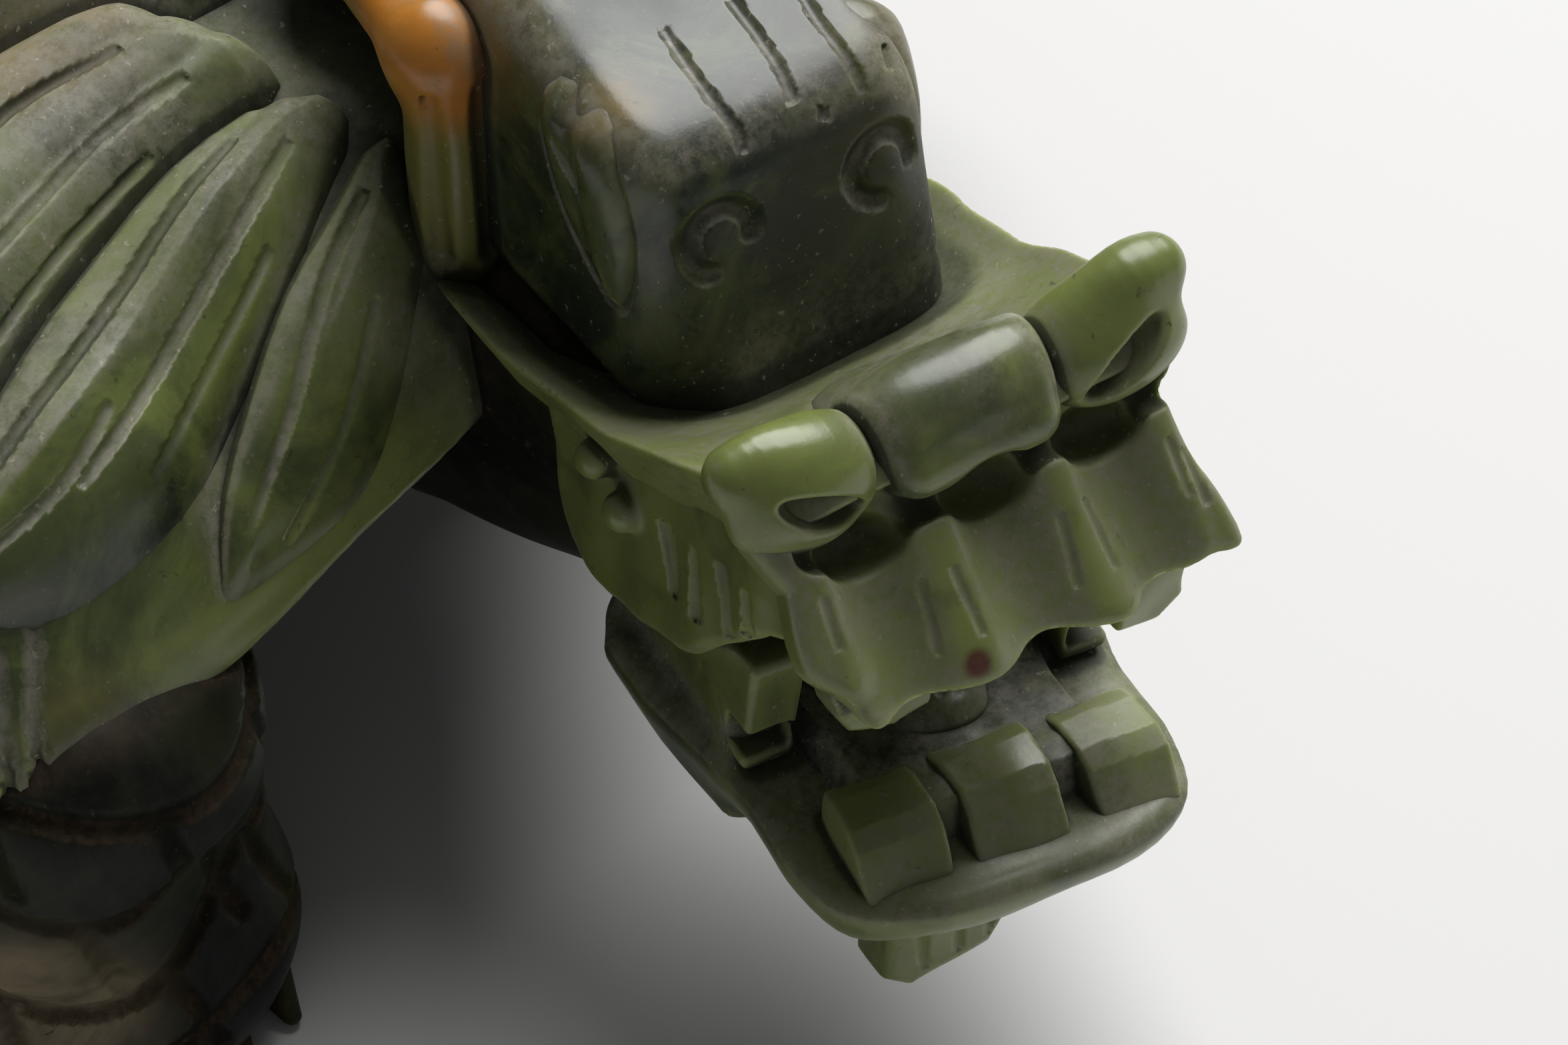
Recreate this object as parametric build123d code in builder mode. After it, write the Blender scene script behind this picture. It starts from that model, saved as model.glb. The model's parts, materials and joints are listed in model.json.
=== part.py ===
from build123d import *
from math import cos, radians, sin
import os

# A dragon turtle carved from one pebble of jade: a dragon's head and mane on a turtle's shell,
# with four clawed legs and a short tail. Every carved mass is a solid of its own, and each one is
# cut by its neighbours, so that they meet face to face where the carver cut a groove.
#
# Lengths are in millimetres. +Z is up, the body faces -Y, and +X is the animal's left.
# The origin lies on the table, under the middle of the whole figure.
# The head is drawn looking straight ahead, and then turned about the neck.

# Driving dimensions
figure_length = 200.0  # from the lower lip to the tip of the tail
figure_height = 75.0  # from the table to the top of the shell
nose_height = 58.0  # from the table to the dips beside the nose bridge
head_turn = 25.0  # how far the head looks to the animal's right, in degrees
head_reach = 42.0  # from the point it turns about forwards to the nose bridge
lip_reach = 54.14  # from that point forwards to the lower lip, once the head is turned

shell_width = 128.0
shell_length = 132.0
shell_overhang = 5.5  # how far the shell's front edge lies in front of the neck's turning point
rim_bottom = 32.5  # the shell's thin lower edge, above the table
rim_top = 36.0

dome_width = 100.0  # the raised middle of the shell
dome_length = 104.0
dome_base = 46.0
plate_relief = 1.2  # how far the shell's plates stand above the grooves between them
plate_gap = 1.0
plate_pitch = 19.0

belly_bottom = 12.0
mane_relief = 3.2  # how far a lock of the mane stands above the shell

# Places that follow from them
neck_y = lip_reach - figure_length / 2
nose_y = neck_y - head_reach
shell_front_y = neck_y - shell_overhang
shell_mid_y = shell_front_y + shell_length / 2
dome_mid_y = shell_mid_y + 8.0
dome_height = figure_height - dome_base
nose = (0, nose_y, nose_height)
neck_axis = Axis((0, neck_y, 0), (0, 0, 1))

# Drawing planes through the straight head's nose bridge. On the side plane a point is (backwards,
# up), on the front plane it is (left, up) and on the top plane it is (left, backwards).
side_plane = Plane(origin=nose, x_dir=(0, 1, 0), z_dir=(1, 0, 0))
front_plane = Plane(origin=nose, x_dir=(1, 0, 0), z_dir=(0, -1, 0))
top_plane = Plane(origin=nose, x_dir=(1, 0, 0), z_dir=(0, 0, 1))

# The lower jaw was carved a little askew: its left side hangs lower.
jaw_roll = 4.0
jaw_top = -31.5
jaw_frame = Plane(origin=(0, nose_y, nose_height + jaw_top)).rotated((0, jaw_roll, 0))

sides = {"left": 1, "right": -1}

os.makedirs("parts", exist_ok=True)


def keep(piece, label):
    """Names a finished piece and writes it as its own file."""
    piece.part.label = label
    export_step(piece.part, f"parts/{label}.step")


def slab(plane, points, near, far, cuts=()):
    """A straight-sided block: an outline on a plane, from one distance off it to another."""
    with BuildPart() as block:
        with BuildSketch(plane.offset(min(near, far))):
            with BuildLine():
                Polyline(*points, close=True)
            make_face()
        extrude(amount=abs(far - near))
        for neighbour in cuts:
            add(neighbour.part, mode=Mode.SUBTRACT)
    return block


def dome(width, length, height):
    """The upper half of an ellipsoid, standing on its widest section."""
    radius = length / 2
    with BuildPart() as cap:
        Sphere(radius)
        scale(by=(width / length, 1, height / radius))
        split(bisect_by=Plane.XY, keep=Keep.TOP)
    return cap.part


def plan_points(grow):
    """The shell's plan, from the neck round one side to the back, grown outwards."""
    half = shell_width / 2 + grow
    front = -shell_length / 2 - grow
    back = shell_length / 2 + grow
    return [
        (0, front + 1.0),
        (0.30 * half, front + 0.4),
        (0.60 * half, front + 3.2),
        (0.79 * half, front + 6.5),
        (0.92 * half, front + 11.5),
        (0.99 * half, front + 28),
        (half, -0.1 * shell_length),
        (0.95 * half, 0.2 * shell_length),
        (0.76 * half, 0.75 * back),
        (0.40 * half, 0.95 * back),
        (0, back),
    ]


def shell_skirt(grow):
    """The sloping band of the shell from its rim up to the dome, as a loft of shrinking plans."""
    levels = [
        (rim_bottom, -2.0),
        (rim_top, 0.0),
        (rim_top + 6.0, -5.0),
        (rim_top + 12.0, -13.0),
        (rim_top + 17.0, -24.0),
    ]
    with BuildPart() as band:
        for height, inset in levels:
            one_side = plan_points(inset + grow)
            other_side = [(-x, y) for x, y in reversed(one_side[1:-1])]
            with BuildSketch(Plane((0, shell_mid_y, height + 0.8 * grow))):
                with BuildLine():
                    Spline(*one_side, *other_side, periodic=True)
                make_face()
        loft()
    return band


# Shell -------------------------------------------------------------------------------------

with BuildPart() as carapace:
    with Locations((0, dome_mid_y, dome_base)):
        add(dome(
            dome_width - 2 * plate_relief,
            dome_length - 2 * plate_relief,
            dome_height - plate_relief,
        ))
keep(carapace, "carapace")

with BuildPart() as plate_skin:
    with Locations((0, dome_mid_y, dome_base)):
        add(dome(dome_width, dome_length, dome_height))
    add(carapace.part, mode=Mode.SUBTRACT)

ridge_half = 8.0  # half the length of the edge that two ridge plates share
ridge_point = 14.0  # how far a ridge plate's corner points out to the side
fan = 1.3  # how much the flank plates spread towards the rim


def shell_plate(outline):
    """One raised plate: its outline, shrunk by half a groove, cut from the skin of the dome."""
    with BuildPart() as plate:
        with BuildSketch(Plane((0, dome_mid_y, dome_base))):
            with BuildLine():
                Polyline(*outline, close=True)
            make_face()
            offset(amount=-plate_gap / 2, kind=Kind.INTERSECTION)
        extrude(amount=2 * dome_height)
        add(plate_skin.part, mode=Mode.INTERSECT)
    return plate


for row in range(5):
    middle = (row - 2) * plate_pitch
    start = middle - plate_pitch / 2
    end = middle + plate_pitch / 2
    ridge_plate = shell_plate([
        (-ridge_half, start),
        (ridge_half, start),
        (ridge_point, middle),
        (ridge_half, end),
        (-ridge_half, end),
        (-ridge_point, middle),
    ])
    keep(ridge_plate, f"ridge_plate_{row + 1}")

for side, sign in sides.items():
    for row in range(4):
        start = (row - 2) * plate_pitch
        end = start + plate_pitch
        flank_plate = shell_plate([
            (sign * ridge_point, start),
            (sign * ridge_half, (start + end) / 2),
            (sign * ridge_point, end),
            (sign * dome_width, end * fan),
            (sign * dome_width, start * fan),
        ][::sign])
        keep(flank_plate, f"flank_plate_{side}_{row + 1}")

with BuildPart() as skirt:
    add(shell_skirt(0).part)
    add(plate_skin.part, mode=Mode.SUBTRACT)
    add(carapace.part, mode=Mode.SUBTRACT)
keep(skirt, "shell_skirt")

# Belly, neck and tail ----------------------------------------------------------------------

belly_width = 78.0
belly_length = 104.0
with BuildPart() as belly:
    with BuildSketch(Plane((0, shell_mid_y, belly_bottom))):
        RectangleRounded(belly_width - 14, belly_length - 16, 24)
    with BuildSketch(Plane((0, shell_mid_y, belly_bottom + 8))):
        RectangleRounded(belly_width, belly_length, 28)
    with BuildSketch(Plane((0, shell_mid_y, rim_bottom))):
        RectangleRounded(belly_width + 10, belly_length + 8, 30)
    loft()
keep(belly, "belly")

# Each section: distance before the tip of the tail, radius and height above the table.
tail_sections = [(44.0, 10.0, 28.0), (22.0, 7.5, 27.0), (10.0, 5.0, 21.0), (0.0, 1.6, 13.0)]
with BuildPart() as tail:
    for before_tip, radius, up in tail_sections:
        section = Plane(
            origin=(0, figure_length / 2 - before_tip, up), x_dir=(1, 0, 0), z_dir=(0, 1, 0)
        )
        with BuildSketch(section):
            Ellipse(1.3 * radius, radius)
    loft()
    for neighbour in (belly, skirt):
        add(neighbour.part, mode=Mode.SUBTRACT)
keep(tail, "tail")

# Head, looking straight ahead --------------------------------------------------------------

brow_half = 10.8
eye_spread = 5.9
eye_ring = 2.1  # radius of the middle of the groove round each eye
eye_groove = 1.05
face_tilt = 9.0
with BuildPart() as cranium:
    with BuildSketch(side_plane):
        with BuildLine():
            Polyline((14.6, -8.5), (16.9, 7.2), (40, 8.6), (40, -10), (16, -12), close=True)
        make_face()
    extrude(amount=brow_half, both=True)
    front_edges = cranium.edges().filter_by(lambda edge: abs(edge.tangent_at(0.5).X) < 0.1)
    upright_edges = front_edges.group_by(Axis.Y)[0]
    fillet(upright_edges, 3.6)
    brow_line = cranium.faces().sort_by(Axis.Z)[-1].edges()
    fillet(brow_line, 2.6)
    face_plane = Plane(
        origin=(0, nose_y + 16.1, nose_height + 1.3),
        x_dir=(1, 0, 0),
        z_dir=(0, -cos(radians(face_tilt)), sin(radians(face_tilt))),
    )
    with BuildSketch(face_plane):
        for spread in (-eye_spread, eye_spread):
            with Locations((spread, 0)):
                SlotArc(CenterArc((0, 0), eye_ring, 20, 265), eye_groove)
    extrude(amount=-0.9, mode=Mode.SUBTRACT)
    hair_cuts = [(-3.0, 15.5, 25.5), (1.3, 18.0, 24.5), (5.2, 15.8, 23.0)]
    with BuildSketch(top_plane.offset(8.8)):
        for across, start, end in hair_cuts:
            with Locations((across, (start + end) / 2)):
                SlotOverall(end - start, 0.8, rotation=90)
    extrude(amount=-1.8, mode=Mode.SUBTRACT)

horn_radius = 2.7
horns = {}
for side, sign in sides.items():
    with BuildPart() as horn:
        horn_foot = Plane(origin=(sign * 12.6, nose_y + 37.2, nose_height - 10), z_dir=(0, 0, 1))
        with BuildSketch(horn_foot):
            Ellipse(horn_radius, 1.2 * horn_radius)
        with BuildSketch(horn_foot.offset(9)):
            Ellipse(0.92 * horn_radius, 1.3 * horn_radius)
        with BuildSketch(horn_foot.offset(16.5).rotated((-20, 0, 0))):
            Ellipse(0.75 * horn_radius, 1.4 * horn_radius)
        loft()
        with Locations((sign * 12.6, nose_y + 37.2 - 1.2 * horn_radius, nose_height - 4)):
            Cylinder(0.6, 12, mode=Mode.SUBTRACT)
        add(cranium.part, mode=Mode.SUBTRACT)
    horns[side] = horn

ears = {}
for side, sign in sides.items():
    with BuildPart() as ear:
        with BuildSketch(side_plane.offset(sign * brow_half)):
            with BuildLine():
                ThreePointArc((21.5, 6.0), (26.0, 3.0), (25.0, -3.0))
                ThreePointArc((25.0, -3.0), (19.0, -1.0), (21.5, 6.0))
            make_face()
        extrude(amount=sign * 1.1)
        add(cranium.part, mode=Mode.SUBTRACT)
    ears[side] = ear

muzzle_half = 15.3
saddle_radius = 32.0
saddle_fall = 24.0  # slope of the dished bridge between nose and brow, in degrees
with BuildPart() as muzzle:
    with BuildSketch(side_plane):
        with BuildLine():
            Polyline(
                (1.5, -0.6), (7, -5.2), (14, -8.5), (21.5, -10.5), (29, -13.3), (36, -13.5),
                (36, -19), (20, -17), (6, -14), (-4, -13.5), (-8.6, -15.8), (-10.6, -13.8),
                (-4.4, -6), (-3.4, -5), close=True,
            )
        make_face()
    extrude(amount=muzzle_half, both=True)
    saddle_axis = Plane(origin=(0, nose_y, nose_height + saddle_radius - 4.2), z_dir=(0, 1, 0))
    with BuildSketch(saddle_axis.rotated((-saddle_fall, 0, 0)).offset(4.0)):
        Circle(saddle_radius)
    extrude(amount=60, mode=Mode.SUBTRACT)
    lip_plane = front_plane.offset(-4)
    with BuildSketch(lip_plane):
        for across, radius in ((0, 3.9), (9, 2.9), (-9, 2.9)):
            with Locations((across, -17.2)):
                Circle(radius)
    extrude(amount=14, mode=Mode.SUBTRACT)
    flute_radius = 2.2
    for across in (-8.1, 0, 8.1):
        with Locations((across, nose_y - 3.4, nose_height - 7.0)):
            Sphere(flute_radius, mode=Mode.SUBTRACT)
    for neighbour in (cranium, *horns.values()):
        add(neighbour.part, mode=Mode.SUBTRACT)

with BuildPart() as nose_bridge:
    with BuildSketch(front_plane.offset(-2)):
        with BuildLine():
            ThreePointArc((-5.8, 0.2), (0, 1.6), (5.8, 0.2))
            Polyline((5.8, 0.2), (6.0, -5.0), (-6.0, -5.0), (-5.8, 0.2))
        make_face()
    extrude(amount=6.2)
    fillet(nose_bridge.edges().filter_by(Axis.X), 0.8)
    add(muzzle.part, mode=Mode.SUBTRACT)

nostrils = {}
for side, sign in sides.items():
    with BuildPart() as nostril:
        with BuildSketch(front_plane.offset(-2.5)):
            with BuildLine():
                ThreePointArc((sign * 6.0, -0.4), (sign * 10.5, 2.6), (sign * 15.2, 2.0))
                ThreePointArc((sign * 15.2, 2.0), (sign * 15.6, -2.5), (sign * 12.5, -4.6))
                Polyline((sign * 12.5, -4.6), (sign * 6.0, -5.0), (sign * 6.0, -0.4))
            make_face()
        extrude(amount=5.7)
        with BuildSketch(front_plane.offset(3.2)):
            with Locations((sign * 10.3, -1.6)):
                Ellipse(3.3, 1.1, rotation=sign * 22)
        extrude(amount=-2.4, mode=Mode.SUBTRACT)
        add(muzzle.part, mode=Mode.SUBTRACT)
        add(nose_bridge.part, mode=Mode.SUBTRACT)
    nostrils[side] = nostril

# Cheeks hang from the muzzle's rim and end in the ragged edge of the upper lip.
cheek_outline = [
    (-3.5, -13), (-0.6, -14.6), (3, -18.5), (8.6, -22.6),
    (14, -20.5), (21, -19.5), (22, -16.5), (4, -13.2),
]
cheeks = {}
for side, sign in sides.items():
    cheek = slab(
        side_plane,
        cheek_outline,
        sign * 10.2,
        sign * 14.9,
        cuts=(muzzle, cranium),
    )
    cheeks[side] = cheek

fangs = {}
for side, sign in sides.items():
    fang_outline = [
        (sign * 6.4, -14.0), (sign * 6.6, -18.2), (sign * 9.5, -19.4), (sign * 11.6, -18.4),
        (sign * 12.0, -13.0),
    ]
    fang = slab(front_plane, fang_outline[::sign], 5.2, 8.6, cuts=(muzzle,))
    fangs[side] = fang

jaw_half = 13.6
jaw_front = -11.4
jaw_back = 24.0
jaw_thickness = 4.6
with BuildPart() as lower_jaw:
    with BuildSketch(jaw_frame.offset(-jaw_thickness)):
        with BuildLine():
            Polyline((-jaw_half, jaw_back), (-jaw_half, jaw_front + 8))
            TangentArc((-jaw_half, jaw_front + 8), (-jaw_half + 8, jaw_front), tangent=(0, -1))
            Line((-jaw_half + 8, jaw_front), (jaw_half - 8, jaw_front))
            TangentArc((jaw_half - 8, jaw_front), (jaw_half, jaw_front + 8), tangent=(1, 0))
            Polyline((jaw_half, jaw_front + 8), (jaw_half, jaw_back), (-jaw_half, jaw_back))
        make_face()
    extrude(amount=jaw_thickness)
    bottom_edges = lower_jaw.faces().sort_by(Axis.Z)[0].edges()
    fillet(bottom_edges.sort_by(Axis.Y)[:-1], 1.8)

lower_teeth = {}
for name, across, width in (("right", -8.0, 6.2), ("middle", 0.0, 6.6), ("left", 8.0, 6.2)):
    with BuildPart() as tooth:
        with BuildSketch(jaw_frame):
            with Locations((across, -5.3)):
                Rectangle(width, 4.2)
        extrude(amount=2.4)
        chamfer(tooth.faces().sort_by(Axis.Z)[-1].edges(), 0.4)
    lower_teeth[name] = tooth

with BuildPart() as tongue:
    with BuildSketch(jaw_frame):
        with Locations((0, 6.5)):
            SlotOverall(18, 9, rotation=90)
    extrude(amount=2.2)
    fillet(tongue.faces().sort_by(Axis.Z)[-1].edges(), 0.9)

corner_teeth = {}
for side, sign in sides.items():
    with BuildPart() as side_teeth:
        with BuildSketch(jaw_frame):
            with Locations((sign * 11.0, 6.5)):
                Rectangle(4.0, 9.0)
        extrude(amount=5.0)
        with BuildSketch(jaw_frame.offset(5.0)):
            with Locations((sign * 11.0, 6.5)):
                Rectangle(4.0, 1.1)
        extrude(amount=-2.6, mode=Mode.SUBTRACT)
    corner_teeth[side] = side_teeth

with BuildPart() as beard:
    with BuildSketch(side_plane.offset(-4)):
        with BuildLine():
            Polyline(
                (-4, -35.0), (10, -35.0), (9, -41), (4, -48.5), (0.5, -49.5), (-1.5, -44), close=True
            )
        make_face()
    extrude(amount=8)
    add(lower_jaw.part, mode=Mode.SUBTRACT)

# Head turned on the neck -------------------------------------------------------------------

straight_head = {
    "cranium": cranium,
    "muzzle": muzzle,
    "nose_bridge": nose_bridge,
    "lower_jaw": lower_jaw,
    "tongue": tongue,
    "beard": beard,
}
paired = {
    "horn": horns,
    "ear": ears,
    "nostril": nostrils,
    "cheek": cheeks,
    "upper_fang": fangs,
    "lower_tooth": lower_teeth,
    "side_teeth": corner_teeth,
}
for name, pieces in paired.items():
    for side, piece in pieces.items():
        straight_head[f"{name}_{side}"] = piece

head = {}
for name, piece in straight_head.items():
    with BuildPart() as turned:
        add(piece.part.rotate(neck_axis, -head_turn))
        for neighbour in (skirt, plate_skin, carapace):
            add(neighbour.part, mode=Mode.SUBTRACT)
    head[name] = turned
    keep(turned, name)

# Each section: distance behind the turning point, half width, half height, height above the
# table, and how much of the head's turn it takes.
neck_sections = [
    (-27.0, 9.0, 9.5, 33.5, 1.0),
    (-16.0, 12.0, 12.5, 34.5, 0.8),
    (4.0, 27.0, 18.0, 32.0, 0.0),
]
with BuildPart() as neck:
    for back, half_width, half_height, up, share in neck_sections:
        turn = radians(share * head_turn)
        section = Plane(
            origin=(back * sin(turn), neck_y + back * cos(turn), up),
            x_dir=(cos(turn), -sin(turn), 0),
            z_dir=(sin(turn), cos(turn), 0),
        )
        with BuildSketch(section):
            Ellipse(half_width, half_height)
    loft(ruled=True)
    for neighbour in (*head.values(), skirt, belly, carapace):
        add(neighbour.part, mode=Mode.SUBTRACT)
keep(neck, "neck")

# Mane --------------------------------------------------------------------------------------

mane_blanket = shell_skirt(mane_relief)
# The locks in plan, out from the middle and back from the neck's turning point.
lock_outlines = {
    "front": [(13, 6), (19, 0), (28, -1.7), (42, -1.8), (35, 2.2), (26.5, 4.6), (18.5, 7.5)],
    "middle": [(18.5, 7.5), (26.5, 4.6), (35, 2.2), (55, 10), (44, 14), (33, 14.3), (21, 14.2)],
    "back": [(21, 14.2), (33, 14.3), (44, 14), (54, 22.5), (47.5, 31), (35, 29.5), (23, 21.5)],
}
mane_neighbours = [skirt, plate_skin, carapace, neck, head["cranium"]]
mane_neighbours += [head["horn_left"], head["horn_right"], head["muzzle"]]
for side, sign in sides.items():
    for name, outline in lock_outlines.items():
        with BuildPart() as lock:
            with BuildSketch(Plane((0, neck_y, rim_bottom))):
                with BuildLine():
                    Polyline(*[(sign * x, y) for x, y in outline[::sign]], close=True)
                make_face()
                offset(amount=-0.3, kind=Kind.INTERSECTION)
            extrude(amount=figure_height - rim_bottom)
            add(mane_blanket.part, mode=Mode.INTERSECT)
            for neighbour in mane_neighbours:
                add(neighbour.part, mode=Mode.SUBTRACT)
        keep(lock, f"mane_lock_{name}_{side}")

crest_plane = Plane(origin=(0, neck_y, nose_height), x_dir=(0, 1, 0), z_dir=(1, 0, 0))
with BuildPart() as mane_crest:
    with BuildSketch(crest_plane):
        with BuildLine():
            Polyline((-2, 4), (6, 6), (20, 2), (20, -8), (-2, -10), close=True)
        make_face()
    extrude(amount=9.5, both=True)
    for neighbour in mane_neighbours:
        add(neighbour.part, mode=Mode.SUBTRACT)
keep(mane_crest, "mane_crest")

# Legs and claws ----------------------------------------------------------------------------

# Where each leg stands, out from the middle and back from the neck. The right foreleg steps out.
leg_places = {
    "front_left": (47.0, 30.0),
    "front_right": (-47.0, 10.0),
    "back_left": (38.0, 92.0),
    "back_right": (-38.0, 92.0),
}
leg_width = 25.0
foot_length = 30.0
ankle_height = 12.0
claw_length = 4.0
claw_width = 4.0
claw_height = 4.4
claw_pitch = 4.9
claw_splay = 2.5  # how far the claws are set towards the outer side of the foot
claws_per_foot = 4
for name, (leg_x, leg_back) in leg_places.items():
    pair, side = name.split("_")
    leg_y = neck_y + leg_back
    sign = sides[side]
    with BuildPart() as leg:
        with BuildSketch(Plane((leg_x, leg_y, 0))):
            RectangleRounded(leg_width, foot_length, 10)
        with BuildSketch(Plane((leg_x, leg_y + 1.5, ankle_height))):
            RectangleRounded(leg_width - 2, foot_length - 5, 9)
        with BuildSketch(Plane((leg_x - sign, leg_y + 2, rim_bottom))):
            RectangleRounded(leg_width, foot_length, 10)
        loft()
        add(belly.part, mode=Mode.SUBTRACT)
    with BuildPart() as claws:
        for claw in range(claws_per_foot):
            across = (claw - (claws_per_foot - 1) / 2) * claw_pitch
            toe = (leg_x + sign * claw_splay + across, leg_y - foot_length / 2 + 1, 0)
            with BuildSketch(Plane(origin=toe, x_dir=(0, -1, 0), z_dir=(-1, 0, 0))):
                with BuildLine():
                    Line((-3, 0), (claw_length, 0))
                    ThreePointArc((claw_length, 0), (2.4, 0.8 * claw_height), (-3, claw_height))
                    Line((-3, claw_height), (-3, 0))
                make_face()
            extrude(amount=claw_width / 2, both=True)
        add(leg.part, mode=Mode.SUBTRACT)
    keep(leg, f"{pair}_leg_{side}")
    keep(claws, f"{pair}_claws_{side}")
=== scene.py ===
import json
import math

import bpy
import numpy as np
from mathutils import Matrix, Vector

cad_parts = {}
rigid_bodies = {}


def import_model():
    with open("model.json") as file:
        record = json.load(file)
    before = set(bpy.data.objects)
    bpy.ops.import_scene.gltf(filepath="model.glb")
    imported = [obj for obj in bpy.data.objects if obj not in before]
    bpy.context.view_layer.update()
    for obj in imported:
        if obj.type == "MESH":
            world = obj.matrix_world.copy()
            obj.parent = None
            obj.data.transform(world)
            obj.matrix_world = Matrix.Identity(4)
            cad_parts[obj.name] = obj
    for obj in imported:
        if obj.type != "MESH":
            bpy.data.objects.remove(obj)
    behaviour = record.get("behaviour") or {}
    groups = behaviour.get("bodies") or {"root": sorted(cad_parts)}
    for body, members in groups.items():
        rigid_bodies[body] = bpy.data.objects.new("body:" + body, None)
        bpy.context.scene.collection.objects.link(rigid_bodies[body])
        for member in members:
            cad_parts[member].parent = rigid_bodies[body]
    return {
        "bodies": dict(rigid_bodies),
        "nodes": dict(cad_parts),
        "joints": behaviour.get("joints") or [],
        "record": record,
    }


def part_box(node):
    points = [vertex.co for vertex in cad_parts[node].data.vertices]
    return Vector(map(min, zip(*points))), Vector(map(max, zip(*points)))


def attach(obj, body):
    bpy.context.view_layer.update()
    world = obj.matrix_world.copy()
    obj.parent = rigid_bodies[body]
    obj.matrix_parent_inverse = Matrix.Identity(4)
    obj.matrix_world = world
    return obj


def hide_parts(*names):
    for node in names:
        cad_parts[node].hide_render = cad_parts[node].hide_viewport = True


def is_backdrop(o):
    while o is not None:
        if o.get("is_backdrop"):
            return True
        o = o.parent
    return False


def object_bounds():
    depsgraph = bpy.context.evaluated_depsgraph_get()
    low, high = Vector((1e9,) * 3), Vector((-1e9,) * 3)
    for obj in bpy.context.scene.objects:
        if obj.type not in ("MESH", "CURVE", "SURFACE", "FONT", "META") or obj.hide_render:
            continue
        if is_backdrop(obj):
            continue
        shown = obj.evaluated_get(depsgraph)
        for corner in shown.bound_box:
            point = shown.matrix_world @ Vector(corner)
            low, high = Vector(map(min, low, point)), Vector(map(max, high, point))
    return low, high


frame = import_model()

# A dragon turtle carved from one pebble of jade. Each carved mass is modelled as a signed
# distance, in millimetres, and then turned into a closed mesh that stands in for its node.
#
# The head is carved looking straight ahead, measured from the nose bridge: x to the animal's left,
# y backwards, z up. It is then turned about the neck. The body is measured from the turning point
# in the neck, at the height of the nose bridge.

CAD_LOW, CAD_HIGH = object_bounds()
SKIRT_LOW, SKIRT_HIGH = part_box("shell_skirt")
_, BRIDGE_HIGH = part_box("nose_bridge")
BRIDGE_RISE = 1.6  # the top of the nose bridge above the head's origin
SHELL_OVERHANG = 5.4  # the shell's front edge before the neck's turning point
HEAD_REACH = 42.0  # the head's origin before the neck's turning point
HEAD_TURN = math.radians(25)
NOSE_HEIGHT = BRIDGE_HIGH.z * 1000 - BRIDGE_RISE
NECK = np.array([0.0, SKIRT_LOW.y * 1000 + SHELL_OVERHANG, NOSE_HEIGHT])
HEAD_WAY = np.array([-math.sin(HEAD_TURN), -math.cos(HEAD_TURN), 0.0])
TABLE = -NOSE_HEIGHT
TAIL_TIP = CAD_HIGH.y * 1000 - NECK[1]
SHELL_HALF = (SKIRT_HIGH.x - SKIRT_LOW.x) * 500
SHELL_TOP = CAD_HIGH.z * 1000 - NOSE_HEIGHT


class Frame:
    """Where a group of carvings lies: turned about the vertical, with its origin at a place."""

    def __init__(self, origin, turn=0.0):
        self.origin = np.array(origin)
        c, s = math.cos(turn), math.sin(turn)
        self.axes = np.array([[c, -s, 0], [s, c, 0], [0, 0, 1]])

    def to_world(self, p):
        return p @ self.axes.T + self.origin

    def to_local(self, p):
        return ((p - self.origin) @ self.axes).astype(np.float32)


BODY = Frame(NECK)
HEAD = Frame(NECK + HEAD_REACH * HEAD_WAY, -HEAD_TURN)


# Distances ---------------------------------------------------------------------------------

def vec(*numbers):
    return np.array(numbers, np.float32)


def length(v):
    return np.sqrt((v * v).sum(axis=1))


def union(a, b, blend=0.5):
    """Two shapes joined, with a fillet about as wide as blend."""
    near = np.maximum(blend - np.abs(a - b), 0) / blend
    return np.minimum(a, b) - near * near * blend / 4


def common(a, b, blend=0.5):
    """What two shapes share, with its new edges rounded."""
    return -union(-a, -b, blend)


def without(a, b, blend=0.5):
    """Shape a with shape b cut away."""
    return common(a, -b, blend)


def half_space(p, point, normal):
    """Everything behind a plane."""
    n = np.asarray(normal, float)
    n = (n / np.linalg.norm(n)).astype(np.float32)
    return (p - vec(*point)) @ n


def ball(p, centre, radius):
    return length(p - vec(*centre)) - radius


def egg(p, centre, radii):
    """An ellipsoid. Its distance is nearly true close to the surface."""
    q = (p - vec(*centre)) / vec(*radii)
    k0 = length(q)
    k1 = length(q / vec(*radii))
    return k0 * (k0 - 1) / np.maximum(k1, 1e-6)


def rod(p, start, end, start_radius, end_radius, squash=None):
    """A tapering rod with round ends. squash scales the axes, to make it a flat one."""
    a, b = vec(*start), vec(*end)
    scale = vec(1, 1, 1) if squash is None else vec(*squash)
    q, along = (p - a) * scale, (b - a) * scale
    t = np.clip(q @ along / float(along @ along), 0, 1)
    return length(q - t[:, None] * along) - (start_radius + (end_radius - start_radius) * t)


def egg_along(p, start, end, half_width, half_depth):
    """A lens-like hollow between two points, narrow up and down and deep from front to back."""
    a, b = vec(*start), vec(*end)
    long = (b - a) / np.linalg.norm(b - a)
    deep = vec(0, -1, 0) - long * float(vec(0, -1, 0) @ long)
    deep /= np.linalg.norm(deep)
    axes = np.stack([long, deep, np.cross(long, deep)])
    q = (p - (a + b) / 2) @ axes.T
    return egg(q, (0, 0, 0), (float(np.linalg.norm(b - a)) / 2, half_depth, half_width))


def block(p, centre, half, rounding=0.5, axes=None):
    """A box with rounded edges, turned by the rows of axes."""
    q = p - vec(*centre)
    if axes is not None:
        q = q @ np.asarray(axes, np.float32).T
    q = np.abs(q) - (vec(*half) - rounding)
    outside = length(np.maximum(q, 0))
    return outside + np.minimum(q.max(axis=1), 0) - rounding


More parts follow.
